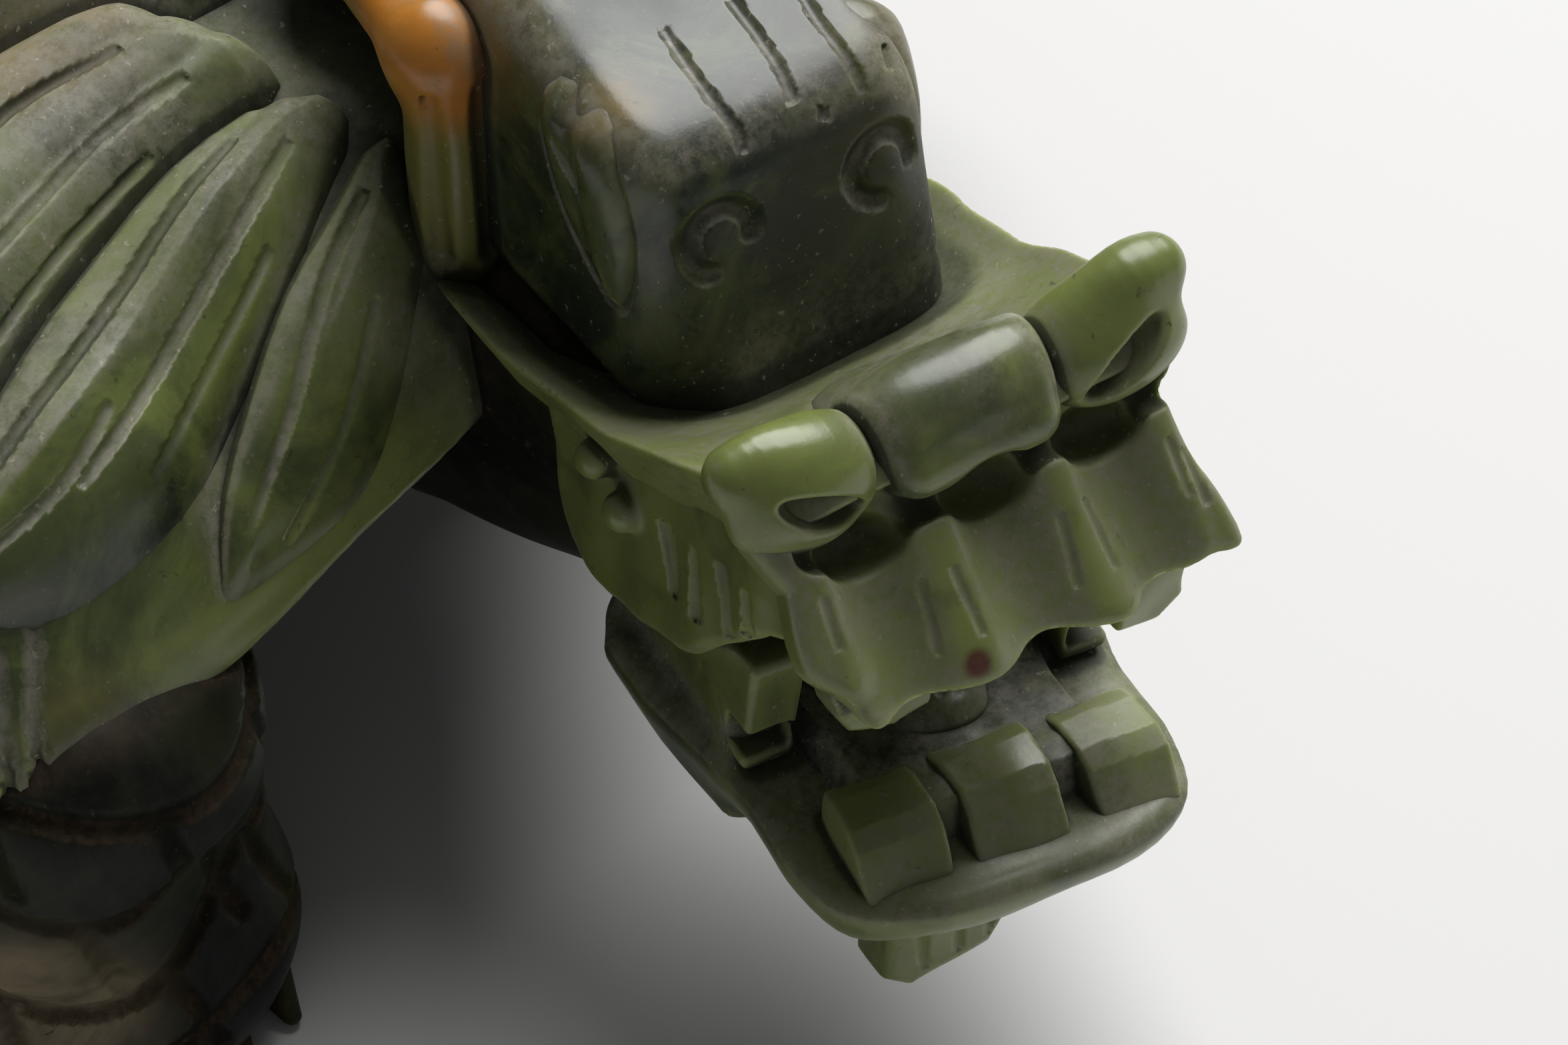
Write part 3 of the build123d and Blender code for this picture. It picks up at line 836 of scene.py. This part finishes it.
# The shell's edge from above, on the animal's left: (out, backwards).
SHELL_FRONT = [(0, -4.0), (10, -4.7), (18, -4.6), (28, -3.3), (38, -1.8), (50, 0.6), (57, 3.6), (61.5, 9)]
SHELL_BACK = [(63.2, 22), (SHELL_HALF - 0.5, 48), (62, 78), (54, 104), (38, 120), (18, 125.5), (0, 126)]
RIGHT_HALF = [(-x, y) for x, y in SHELL_FRONT + SHELL_BACK]
SHELL_PLAN = smooth_line((SHELL_FRONT + SHELL_BACK)[:-1] + RIGHT_HALF[::-1][:-1], 3, True)
RIM_HEIGHT = -24.4
BAND_RISE = 15.5
DOME_CENTRE = (0, 68.6, -13)
DOME_RADII = (50.0, 52.0, SHELL_TOP + 13)


def rim_lift(p):
    """How much the rim rises where the neck comes out over it."""
    return 5.0 * np.exp(-(p[:, 0] / 25) ** 2 - (np.maximum(p[:, 1], 0) / 22) ** 2)


def skirt_top(inset, p):
    """Height of the sloping band of the shell, by the distance in from its edge."""
    swell = BAND_RISE * (1 - np.exp(-np.maximum(inset, -1) / 8.5))
    return RIM_HEIGHT + rim_lift(p) + swell + 0.10 * np.clip(inset, 0, 40)


def skirt_block(p):
    """The sloping band round the dome, which ends in a thin rim."""
    inset = -outline_distance(p[:, 0], p[:, 1], SHELL_PLAN)
    top = (p[:, 2] - skirt_top(inset, p)) * 0.62
    underside = RIM_HEIGHT + rim_lift(p) - 0.9 - 0.9 * np.exp(-((inset - 7) / 7.0) ** 2)
    d = common(top, -inset, 1.2)
    d = common(d, (underside - p[:, 2]) * 0.95, 0.9)
    return d + hand_finish(p, 0.3, 11)


skirt = Carving("shell_skirt", skirt_block, (-65, -8, -29), (65, 128, 0), 0.55, frame=BODY)
for side in (-1, 1):
    for start, end in (((52.5, 7.4), (58.2, 1.7)), ((50.0, 6.8), (56.8, 0.5))):
        skirt.cut([(side * start[0], start[1], -18), (side * end[0], end[1], -22)], 1.4, 0.7)
    skirt.cut([(side * 45.6, -1.8, -20), (side * 49.3, -1.4, -20), (side * 54.1, 0.6, -20)], 1.6, 0.7)


def carapace_block(p):
    """The dome under the plates, with a flat underside inside the band."""
    dome = egg(p, DOME_CENTRE, np.array(DOME_RADII) - 1.3) + hand_finish(p, 0.2, 12)
    return common(dome, -14 - p[:, 2], 1)


Carving("carapace", carapace_block, (-51, 15, -16), (51, 122, 18), 0.9, frame=BODY)

PLATE_PITCH = 19.0
RIDGE_HALF, RIDGE_POINT = 8.0, 14.0  # half the width of a ridge plate's ends, and of its middle
PLATE_FAN = 1.3  # how much the flank plates spread towards the rim


def shell_plate(outline):
    """One plate of the shell: a low pillow on the dome with a rounded edge."""
    def shape(p):
        side = outline_distance(p[:, 0], p[:, 1] - DOME_CENTRE[1], outline) + 0.45
        skin = egg(p, DOME_CENTRE, DOME_RADII) + 0.5 * np.exp(np.minimum(side, 0) / 2.5)
        inner = -egg(p, DOME_CENTRE, np.array(DOME_RADII) - 4.0)
        d = common(skin + 0.15, side * 0.9, 1.3)
        d = common(d, inner, 0.5)
        return common(d, DOME_CENTRE[2] - p[:, 2], 0.6) + hand_finish(p, 0.12, 8)
    return shape


def add_plate(node, outline):
    """A plate with this outline, measured from the middle of the dome."""
    xs = [q[0] for q in outline]
    ys = [q[1] + DOME_CENTRE[1] for q in outline]
    low = (max(min(xs), -51), max(min(ys), 15), -14)
    high = (min(max(xs), 51), min(max(ys), 122), 18)
    Carving(node, shell_plate(outline), low, high, 0.6, frame=BODY)


for row in range(5):
    middle = (row - 2) * PLATE_PITCH
    start, end = middle - PLATE_PITCH / 2, middle + PLATE_PITCH / 2
    add_plate(f"ridge_plate_{row + 1}", [
        (-RIDGE_HALF, start), (RIDGE_HALF, start), (RIDGE_POINT, middle),
        (RIDGE_HALF, end), (-RIDGE_HALF, end), (-RIDGE_POINT, middle)])
for side, name in SIDES:
    for row in range(4):
        start = (row - 2) * PLATE_PITCH
        end = start + PLATE_PITCH
        add_plate(f"flank_plate_{name}_{row + 1}", [
            (side * RIDGE_POINT, start), (side * RIDGE_HALF, (start + end) / 2), (side * RIDGE_POINT, end),
            (side * 52, end * PLATE_FAN), (side * 52, start * PLATE_FAN)])

# Mane --------------------------------------------------------------------------------------

def on_shell(x, y, lift=0.0):
    """A place on the shell's band, at a height above its surface."""
    p = vec(x, y, 0)[None]
    inset = -outline_distance(p[:, 0], p[:, 1], SHELL_PLAN)
    return (x, y, float(skirt_top(inset, p)[0]) + lift)


def lock_block(outline, height, crown, strands):
    """A lock of hair over the shell: a leaf-shaped outline, swelling into a few rounded strands."""
    ring = smooth_line(outline, 3, True)
    lines = [smooth_line(strand, 4) for strand in strands]

    def shape(p):
        side = outline_distance(p[:, 0], p[:, 1], ring)
        inset = -outline_distance(p[:, 0], p[:, 1], SHELL_PLAN)
        flat = p * vec(1, 1, 0)
        ridge = np.full(len(p), 50, np.float32)
        for line in lines:
            off, _ = path_distance(flat, line)
            ridge = union(ridge, off, 0.6)
        swell = height + crown * (1 - np.exp(np.minimum(side, 0) / 3.0)) - 0.12 * np.minimum(ridge, 4.0) ** 2
        top = (p[:, 2] - skirt_top(inset, p) - swell) * 0.6
        under = (skirt_top(inset, p) - 3.5 - p[:, 2]) * 0.62
        d = common(top, side, 1.3)
        d = common(d, 0.9 - inset, 1.0)
        return common(d, under, 0.8) + hand_finish(p, 0.15, 7)
    return shape


# Each lock: its outline, how high it starts, how much it swells, and the crests of its strands.
LOCKS = {
    "front": (
        [(12, 6.5), (14.5, 1.5), (20, -1.0), (28, -2.4), (36, -2.6), (43.0, -2.4), (38.5, 1.4), (31, 4.4),
         (22, 6.4)],
        0.8, 2.6,
        [[(14, 5), (22, 1.2), (30, -0.4), (41, -1.6)], [(15, 6.2), (24, 4.2), (34, 1.8), (40, -0.4)]],
    ),
    "middle": (
        [(12.5, 9), (21.5, 5.6), (31, 4.2), (39, 3.2), (45, 3.6), (50, 5.8), (53, 9.4), (48, 13.0),
         (39.5, 14.8), (27.5, 15.4), (17, 14)],
        1.2, 3.6,
        [[(15, 9.4), (23, 7.4), (33, 6.0), (42, 5.2), (50, 7.0)],
         [(16, 11), (26, 10.2), (38, 9.0), (51, 9.6)], [(18, 13.2), (28, 13.4), (38, 12.8), (47, 12.2)]],
    ),
    "back": (
        [(13, 13.5), (23.5, 14.4), (35.5, 14.4), (45.5, 13), (57, 15), (53, 25.5), (42, 31), (27, 32),
         (14, 25)],
        1.8, 4.4,
        [[(16, 15.4), (26, 16.6), (38, 16.6), (52, 17)], [(17, 18.5), (28, 20.6), (40, 20.8), (50, 21)],
         [(18, 22.5), (30, 25.6), (42, 26)]],
    ),
}
LOCK_CUTS = {
    "front": [[(17, 4.6), (24, 2.9), (31, 0.9), (37, -0.4)], [(20.8, 0.6), (28, -1.3), (35, -2.0)]],
    "middle": [[(18, 9.4), (27, 8.4), (36, 7.2), (44, 6.8)], [(20, 12), (31, 11.6), (42, 10.8), (49, 10.6)],
               [(24, 6.4), (33, 4.9), (40, 4.2)], [(39, 8.3), (45, 7.6), (51, 8.4)]],
    "back": [[(18.6, 16.8), (28, 18.6), (40, 18.8), (48, 19)], [(20, 20.4), (30, 23), (42, 23.6)],
             [(24, 15.4), (34, 15.6), (44, 14.6)], [(28, 28), (37, 28.8)]],
}
for side, name in SIDES:
    for lock, (outline, height, crown, strands) in LOCKS.items():
        ring = mirrored(outline, side)
        xs, ys = [q[0] for q in ring], [q[1] for q in ring]
        low, high = (min(xs) - 1, min(ys) - 1, -27), (max(xs) + 1, max(ys) + 1, 6)
        crests = [[(side * x, y, 0) for x, y in strand] for strand in strands]
        shape = lock_block(ring, height, crown, crests)
        hair = Carving(f"mane_lock_{lock}_{name}", shape, low, high, 0.3, frame=BODY)
        for line in LOCK_CUTS[lock]:
            hair.cut([on_shell(side * x, y, 3.0) for x, y in line], 1.0, 0.6)


def crest_block(p):
    """The tuft where the locks meet, behind the brow."""
    d = rod(p, (0, 0, 0.5), (0, 15, 0.5), 8.0, 6.5, (0.78, 1, 1))
    return common(d, -2 - p[:, 1], 1) + hand_finish(p, 0.3, 6)


crest = Carving("mane_crest", crest_block, (-12, -3, -10), (12, 22, 10), 0.45, "jade_skin", BODY)
for at in (-5, -1.5, 2.0, 5.5):
    crest.cut([(at * 0.8, 0, 9), (at, 7, 9), (at * 1.2, 16, 7)], 1.0, 0.6)

# Belly, legs and tail ----------------------------------------------------------------------

def belly_block(p):
    """The underside between the legs, flat below."""
    d = egg(p, (0, 60.5, -30), (45, 56, 17))
    d = common(d, p[:, 2] + 24, 1)
    return common(d, half_space(p, (0, 0, -45), (0, 0, -1)), 5) + hand_finish(p, 0.3, 14)


# The belly takes the near-black jade: painted shade for a part in shadow under the shell.
Carving("belly", belly_block, (-46, 4, -47), (46, 118, -22), 0.9, "jade_dark", BODY)


def tail_block(p):
    """A thick tail that drops towards the table."""
    d = rod(p, (0, TAIL_TIP - 40, -30), (0, TAIL_TIP - 18, -32), 9.0, 6.2, (0.8, 1, 1))
    tip = rod(p, (0, TAIL_TIP - 18, -32), (0, TAIL_TIP - 1.8, -43.5), 6.0, 1.3, (0.8, 1, 1))
    return union(d, tip, 3) + hand_finish(p, 0.25, 6)


# The tail takes the near-black jade: painted shade for a part in shadow under the shell.
tail = Carving("tail", tail_block, (-13, TAIL_TIP - 50, -46), (13, TAIL_TIP + 1, -20), 0.6,
               "jade_dark", BODY)
for at in (-4.0, 0.0, 4.0):
    tail.cut([(at, TAIL_TIP - 26, -18), (at, TAIL_TIP - 16, -25), (0.5 * at, TAIL_TIP - 6, -35)], 1.1, 0.6)


def leg_block(centre_x, centre_y):
    """A stout leg with a broad foot, cut flat at the table."""
    def shape(p):
        shin = block(p, (centre_x, centre_y + 2, -42), (12.2, 13.5, 20), 8.5)
        foot = egg(p, (centre_x, centre_y - 0.5, TABLE + 6.5), (12.8, 14.6, 9.5))
        elbow = egg(p, (centre_x, centre_y - 6, -31), (10.5, 8.5, 8))
        d = union(union(shin, foot, 4), elbow, 3)
        return common(d + hand_finish(p, 0.3, 8), TABLE - p[:, 2], 0.8)
    return shape


CLAW_COUNT, CLAW_PITCH, CLAW_SPLAY = 4, 4.9, 1.2


def claw_block(centre_x, centre_y):
    """A row of pointed claws in front of a foot."""
    def shape(p):
        d = np.full(len(p), 50, np.float32)
        for claw in range(CLAW_COUNT):
            at = centre_x + (claw - (CLAW_COUNT - 1) / 2) * CLAW_PITCH
            root = (at, centre_y - 11, TABLE + 3.2)
            tip = (at + math.copysign(CLAW_SPLAY, centre_x), centre_y - 14.4, TABLE + 0.9)
            d = union(d, rod(p, root, tip, 2.1, 0.7), 0.4)
        return common(d, TABLE - p[:, 2], 0.4)
    return shape


SCALE_ROWS = (-27.0, -35.0, -43.0, -51.0)


def scale_rows(leg, centre_x, centre_y):
    """Rows of broad, four-sided scales, each row set half a scale over from the one above."""
    def around(turn, height):
        return (centre_x + 13 * math.sin(turn), centre_y - 15 * math.cos(turn), height)

    for row, height in enumerate(SCALE_ROWS):
        turns = np.linspace(-2.2, 2.2, 14)
        seam = [around(turn, height - 2.2 * math.cos(2.2 * turn + row)) for turn in turns]
        leg.cut(seam, 1.9, 1.1, taper=False)
    for row, height in enumerate(SCALE_ROWS[:-1]):
        for turn in np.linspace(-2.1, 2.1, 6) + 0.42 * (row % 2):
            top = height - 2.2 * math.cos(2.2 * turn + row)
            seam = [around(turn + 0.16 * k, top - 8.0 * k) for k in (0, 0.5, 1)]
            leg.cut(seam, 1.8, 1.05, taper=False)


# Where each leg stands: out from the middle, and back from the neck.
LEGS = {
    "front_left": (47.0, 30.0),
    "front_right": (-47.0, 10.0),
    "back_left": (38.0, 92.0),
    "back_right": (-38.0, 92.0),
}
TOE_SHIFT = 2.5  # how far out the claws sit from the middle of the foot
for name, (out, back) in LEGS.items():
    pair, side = name.split("_")
    low, high = (out - 14, back - 17, TABLE - 1), (out + 14, back + 18, -20)
    # The legs and claws take the near-black jade: painted shade for parts in shadow under the shell.
    leg = Carving(f"{pair}_leg_{side}", leg_block(out, back), low, high, 0.55, "jade_dark", BODY)
    scale_rows(leg, out, back)
    toes = out + math.copysign(TOE_SHIFT, out)
    low, high = (toes - 12, back - 19, TABLE - 1), (toes + 12, back - 6, TABLE + 7)
    Carving(f"{pair}_claws_{side}", claw_block(toes, back), low, high, 0.45, "jade_dark", BODY)


# Meshes ------------------------------------------------------------------------------------

def whole(p, reach=6.0):
    """Distance from places in the world to the nearest carved mass, true where it is under reach."""
    d = np.full(len(p), reach, np.float32)
    for frame in (HEAD, BODY):
        q = frame.to_local(p)
        for carving in Carving.made:
            if carving.frame is not frame:
                continue
            near = np.nonzero(((q > carving.low - reach) & (q < carving.high + reach)).all(axis=1))[0]
            if len(near):
                d[near] = np.minimum(d[near], carving.rough(q[near]))
    return d


def hollowness(p, normal):
    """How far a point lies in a recess, 0 in the open to 1 deep down, from the room above it."""
    closed = np.zeros(len(p), np.float32)
    for reach, share in ((0.6, 0.25), (1.6, 0.3), (4.0, 0.25), (9.0, 0.3)):
        room = in_chunks(lambda q: whole(q, reach + 1), p + normal * reach)
        closed += share * np.clip(1 - room / reach, 0, 1)
    return closed


# How much paler or darker than the stone's average each mass is drawn: partly the stone's own tone and
# partly painted light and shade, paler on the teeth, cheeks, lip and nostrils that face the lamp and darker
# on the brow's shaded face.
PALE_TONE_AND_LIGHT = {
    "cranium": -0.25, "muzzle": 0.46, "nose_bridge": 0.0, "nostril": 0.32, "cheek": 0.58, "upper_fang": 0.10,
    "lower_jaw": -0.14, "lower_tooth": 0.62, "side_teeth": 0.25, "beard": 0.10, "mane_lock_front": 0.10,
    "mane_lock_middle": -0.08, "mane_lock_back": -0.06, "shell_skirt": 0.20, "horn": 0.30,
}


def pale_tone_and_light(node):
    """The share by which a node leans to its pale colour, from its stone's tone and from painted light and
    shade.
    """
    return next((value for name, value in PALE_TONE_AND_LIGHT.items() if node.startswith(name)), 0.0)


# Masses which carry a film of dust even where they lie open.
DUSTY = ("muzzle", "lower_jaw", "lower_tooth", "tongue", "nose_bridge")


def film(node):
    """The dust that a mass carries in the open."""
    return 0.09 if node.startswith(DUSTY) else 0.0


# Where the pebble's brown skin or a speck of iron shows: a centre, how far it spreads, how strong.
SKIN_SPOTS = [
    (HEAD, (-12.2, 38.0, 5.5), 6.8, 1.0),
    (HEAD, (12.2, 38.0, 5.5), 6.8, 0.8),
    (HEAD, (-9.0, 23.0, 7.5), 3.6, 0.55),
    (HEAD, (-11.0, 30.0, 6.0), 4.5, 0.4),
    (BODY, (-22.0, 27.0, -1.0), 8.0, 0.8),
    (BODY, (-36.0, 24.0, -4.0), 6.0, 0.35),
    (BODY, (-59.0, 3.5, -45.0), 7.5, 0.9),
    (BODY, (-50.0, 4.0, -24.0), 5.0, 0.35),
]
IRON_SPOTS = [(HEAD, from_face(-4.6, 10.3), 1.1, 1.0)]


def spotted(p, spots):
    """How strongly a stain colours places in the world."""
    stain = np.zeros(len(p), np.float32)
    for frame, centre, spread, strength in spots:
        away = length(frame.to_local(p) - vec(*centre)) / spread
        stain = np.maximum(stain, strength * np.exp(-away**2))
    return stain


def thinness(p, normal):
    """How thin the stone is under a point, 0 where it is solid to 1 at a fine edge."""
    depth = -in_chunks(whole, p - normal * 4.5)
    return np.clip(1 - depth / 3.6, 0, 1)


def quad_mesh(name, p, faces, normal):
    """A smooth mesh, in metres, of points in millimetres."""
    mesh = bpy.data.meshes.new(name)
    mesh.vertices.add(len(p))
    mesh.vertices.foreach_set("co", (p / 1000).astype(np.float32).ravel())
    mesh.loops.add(4 * len(faces))
    mesh.loops.foreach_set("vertex_index", faces.astype(np.int32).ravel())
    mesh.polygons.add(len(faces))
    mesh.polygons.foreach_set("loop_start", np.arange(0, 4 * len(faces), 4, dtype=np.int32))
    mesh.update(calc_edges=True)
    mesh.shade_smooth()
    mesh.normals_split_custom_set_from_vertices(normal)
    return mesh


def add_carving(carving, materials):
    """Meshes a carving, marks its points for the materials, and puts it in its node's place."""
    p, faces = surface(carving.distance, carving.low, carving.high, carving.step)
    slope = in_chunks(lambda q: gradient(carving.distance, q), p)
    normal = slope / np.maximum(length(slope)[:, None], 1e-6)
    place, outward = carving.frame.to_world(p), normal @ carving.frame.axes.T
    mesh = quad_mesh("carved_" + carving.node, place, faces, outward)
    closed = hollowness(place, outward)
    marks = {
        "hollow": closed,
        "dust": (closed + film(carving.node)) * np.clip(0.1 + 1.2 * outward[:, 2], 0, 1),
        # Thinness, which the materials turn into painted light in thin edges.
        "thin": thinness(place, outward),
        # Paleness of each mass: partly its stone's tone, partly painted light and shade.
        "pale": np.full(len(p), pale_tone_and_light(carving.node)),
        "groove": carving.groove(p, as_share=True),
        "skin": spotted(place, SKIN_SPOTS),
        "iron": spotted(place, IRON_SPOTS),
    }
    for name, values in marks.items():
        attribute = mesh.attributes.new(name, "FLOAT", "POINT")
        attribute.data.foreach_set("value", values.astype(np.float32))
    mesh.materials.append(materials[carving.slot])
    piece = bpy.data.objects.new(mesh.name, mesh)
    bpy.context.scene.collection.objects.link(piece)
    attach(piece, "root")
    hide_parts(carving.node)


# Materials ---------------------------------------------------------------------------------

class Paint:
    """A material's nodes, and short ways to add to them."""

    def __init__(self, name):
        self.material = bpy.data.materials.new(name)
        self.material.use_nodes = True
        self.tree = self.material.node_tree
        self.shader = self.tree.nodes["Principled BSDF"]
        self.place = self.tree.nodes.new("ShaderNodeTexCoord").outputs["Object"]

    def add(self, kind, values, **settings):
        """A new node, whose sockets take an output, a number or a colour."""
        made = self.tree.nodes.new(kind)
        for key, value in settings.items():
            setattr(made, key, value)
        for key, value in values.items():
            if isinstance(value, bpy.types.NodeSocket):
                self.tree.links.new(value, made.inputs[key])
            else:
                made.inputs[key].default_value = (*value, 1) if isinstance(value, tuple) else value
        return made.outputs

    def noise(self, scale, detail, roughness, distortion=0.0):
        values = {"Vector": self.place, "Scale": scale, "Detail": detail, "Roughness": roughness,
                  "Distortion": distortion}
        return self.add("ShaderNodeTexNoise", values)["Fac"]

    def ramp(self, value, low, high, out_low=0.0, out_high=1.0):
        values = {"Value": value, "From Min": low, "From Max": high, "To Min": out_low, "To Max": out_high}
        return self.add("ShaderNodeMapRange", values, interpolation_type="SMOOTHSTEP")["Result"]

    def mix(self, share, first, second):
        return self.add("ShaderNodeMix", {0: share, 6: first, 7: second}, data_type="RGBA")[2]

    def times(self, a, b):
        return self.add("ShaderNodeMath", {0: a, 1: b}, operation="MULTIPLY")[0]

    def plus(self, a, b, clamp=True):
        return self.add("ShaderNodeMath", {0: a, 1: b}, operation="ADD", use_clamp=clamp)[0]

    def mark(self, name):
        """One of the marks left on a carving's points."""
        return self.add("ShaderNodeAttribute", {}, attribute_name=name)["Fac"]

    def set(self, **sockets):
        """Sets the shader's sockets, named with underscores for spaces."""
        for key, value in sockets.items():
            socket = self.shader.inputs[key.replace("_", " ")]
            if isinstance(value, bpy.types.NodeSocket):
                self.tree.links.new(value, socket)
            else:
                socket.default_value = value


DARK_FLECK, DEEP_SHADE, IRON_RED = (0.006, 0.010, 0.006), (0.004, 0.006, 0.003), (0.10, 0.012, 0.008)


def jade_material(name, deep, light, skin, skin_share, cut_colour, dust_colour, polish=0.24, shine=0.5):
    """Nephrite: cloudy green that lets light in, with dark flecks, painted shade and dust in the recesses,
    and painted light in thin edges.
    """
    paint = Paint(name)
    noise, ramp, mix, times, plus = paint.noise, paint.ramp, paint.mix, paint.times, paint.plus
    hollow, groove = paint.mark("hollow"), paint.mark("groove")

    # The green, in clouds; paler in thin edges, as painted light for light that shines through thin stone;
    # and paler or darker by each mass's mark, partly its stone's tone and partly painted light and shade.
    clouds = times(ramp(noise(70, 6, 0.68, 0.9), 0.38, 0.64), 0.62)
    thin = times(ramp(paint.mark("thin"), 0.05, 0.95), 0.62)
    colour = mix(plus(plus(clouds, thin), paint.mark("pale")), deep, light)

    # The pebble's brown skin, in stray patches and in its own spots, and specks of iron.
    stain = ramp(noise(24, 3, 0.55, 0.4), 0.60 - skin_share, 0.78 - skin_share)
    spot = times(ramp(paint.mark("skin"), 0.08, 0.62), ramp(noise(150, 6, 0.65, 0.8), 0.30, 0.62, 0.35, 1.0))
    colour = mix(plus(stain, spot), colour, skin)
    colour = mix(ramp(paint.mark("iron"), 0.25, 0.8), colour, IRON_RED)

    # A milky veil and dark flecks inside the stone.
    veil_colour = tuple(0.55 * a + 0.45 * b + 0.018 for a, b in zip(deep, light))
    colour = mix(times(ramp(noise(110, 7, 0.7, 1.2), 0.40, 0.75), 0.42), colour, veil_colour)
    colour = mix(times(ramp(noise(420, 3, 0.75, 2.0), 0.64, 0.74), 0.7), colour, DARK_FLECK)

    # Shade and dust in the recesses, specks of dust, and powder in the cuts.
    colour = mix(times(ramp(hollow, 0.42, 0.75), 0.75), colour, DEEP_SHADE)
    fine = ramp(noise(1100, 5, 0.8), 0.36, 0.60, 0.25, 1.0)
    patches = ramp(noise(170, 4, 0.6), 0.30, 0.58, 0.35, 1.0)
    laid = times(ramp(paint.mark("dust"), 0.05, 0.24), ramp(hollow, 0.45, 0.70, 1.0, 0.25))
    colour = mix(times(times(laid, times(fine, patches)), 0.72), colour, dust_colour)
    specks = times(ramp(noise(1900, 2, 0.6), 0.66, 0.72), ramp(hollow, 0.0, 0.30, 0.12, 0.75))
    colour = mix(specks, colour, tuple(min(1.3 * n, 1) for n in dust_colour))
    powder = times(ramp(groove, 0.3, 0.95), ramp(noise(260, 4, 0.7), 0.35, 0.65, 0.25, 0.80))
    colour = mix(powder, colour, cut_colour)

    # Polished in the open, and dull in the recesses and the cuts.
    satin = plus(ramp(groove, 0.1, 0.8, 0.0, 0.3), ramp(noise(90, 5, 0.6), 0.35, 0.70, 0.0, 0.16))
    roughness = plus(ramp(hollow, 0.1, 0.5, polish, polish + 0.4), satin, clamp=False)
    grain = {"Strength": 0.25, "Distance": 0.00006, "Height": noise(1500, 3, 0.7)}
    paint.set(Base_Color=colour, Roughness=roughness, Normal=paint.add("ShaderNodeBump", grain)["Normal"])
    paint.set(Subsurface_Weight=0.65, Subsurface_Radius=(0.85, 1.0, 0.28), Subsurface_Scale=0.0018)
    paint.set(IOR=1.61, Specular_IOR_Level=shine)
    return paint.material


PALE_CUT, PALE_DUST = (0.17, 0.18, 0.11), (0.28, 0.26, 0.20)
# The near-black jade's cut and dust colours, darkened with it as painted shade.
SHADED_CUT, SHADED_DUST = (0.040, 0.020, 0.010), (0.060, 0.038, 0.022)


def make_materials():
    """The clear green of the head and shell; a near-black copy of it for the neck, belly, legs, claws and
    tail, as painted shade where they lie in shadow under the shell; and the pebble's skin.
    """
    return {
        "jade": jade_material(
            "jade", (0.012, 0.021, 0.010), (0.205, 0.245, 0.066), (0.24, 0.17, 0.05), 0.02,
            PALE_CUT, PALE_DUST),
        # The near-black copy of the jade: painted shade for the parts in shadow under the shell.
        "jade_dark": jade_material(
            "jade_dark", (0.002, 0.003, 0.002), (0.026, 0.030, 0.010), (0.26, 0.21, 0.13), -0.10,
            SHADED_CUT, SHADED_DUST, polish=0.40, shine=0.14),
        "jade_skin": jade_material(
            "jade_skin", (0.050, 0.060, 0.015), (0.20, 0.19, 0.04), (0.62, 0.24, 0.025), 0.18,
            PALE_CUT, PALE_DUST),
    }


# Stage -------------------------------------------------------------------------------------

TABLE_HALF = 3.0


def add_floor():
    """A plain white table."""
    material = bpy.data.materials.new("white_table")
    material.use_nodes = True
    shader = material.node_tree.nodes["Principled BSDF"]
    shader.inputs["Base Color"].default_value = (0.80, 0.79, 0.785, 1)
    shader.inputs["Roughness"].default_value = 0.55
    mesh = bpy.data.meshes.new("table")
    corners = [(x * TABLE_HALF, y * TABLE_HALF, 0) for x, y in ((-1, -1), (1, -1), (1, 1), (-1, 1))]
    mesh.from_pydata(corners, [], [(0, 1, 2, 3)])
    mesh.materials.append(material)
    table = bpy.data.objects.new("table", mesh)
    bpy.context.scene.collection.objects.link(table)
    table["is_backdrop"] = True


def add_lights():
    """A wide soft window high up on the figure's left side, and a faint fill from the room."""
    world = bpy.data.worlds.new("studio")
    world.use_nodes = True
    fill = world.node_tree.nodes["Background"]
    fill.inputs["Color"].default_value = (0.95, 0.97, 1.0, 1)
    fill.inputs["Strength"].default_value = 0.10
    bpy.context.scene.world = world

    window = bpy.data.lights.new("window", "AREA")
    window.shape, window.size, window.energy = "DISK", 1.6, 35.5
    holder = bpy.data.objects.new("window", window)
    holder.location = (0.95, 0.16, 1.28)
    head = Vector((0, -0.06, 0.03))
    holder.rotation_euler = (head - holder.location).to_track_quat("-Z", "Y").to_euler()
    bpy.context.scene.collection.objects.link(holder)


LENS_MM, SENSOR_MM = 114.8, 36.0
CAMERA_TURN, CAMERA_TILT, CAMERA_DISTANCE = math.radians(-33) - HEAD_TURN, math.radians(48), 290.0
AIM_LEFT, AIM_BELOW = 9.628, 8.584  # where the camera aims, from the nose bridge


def add_camera():
    """A long lens that looks down on the head from the animal's right."""
    level = Vector((math.sin(CAMERA_TURN), -math.cos(CAMERA_TURN), 0))
    back = level * math.cos(CAMERA_TILT) + Vector((0, 0, math.sin(CAMERA_TILT)))
    right = Vector((math.cos(CAMERA_TURN), math.sin(CAMERA_TURN), 0))
    up = back.cross(right)
    place = Vector(HEAD.origin) + back * CAMERA_DISTANCE - right * AIM_LEFT - up * AIM_BELOW
    lens = bpy.data.cameras.new("camera")
    lens.lens, lens.sensor_width = LENS_MM, SENSOR_MM
    lens.clip_start = 0.01
    camera = bpy.data.objects.new("camera", lens)
    camera.matrix_world = Matrix.Translation(place / 1000) @ Matrix((right, up, back)).transposed().to_4x4()
    bpy.context.scene.collection.objects.link(camera)
    bpy.context.scene.camera = camera


add_camera()
add_floor()
add_lights()
MATERIALS = make_materials()
for carving in Carving.made:
    add_carving(carving, MATERIALS)

low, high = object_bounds()
{"cad": [list(CAD_LOW), list(CAD_HIGH)], "visual": [list(low), list(high)]}
bpy.context.scene.view_settings.view_transform = "Standard"
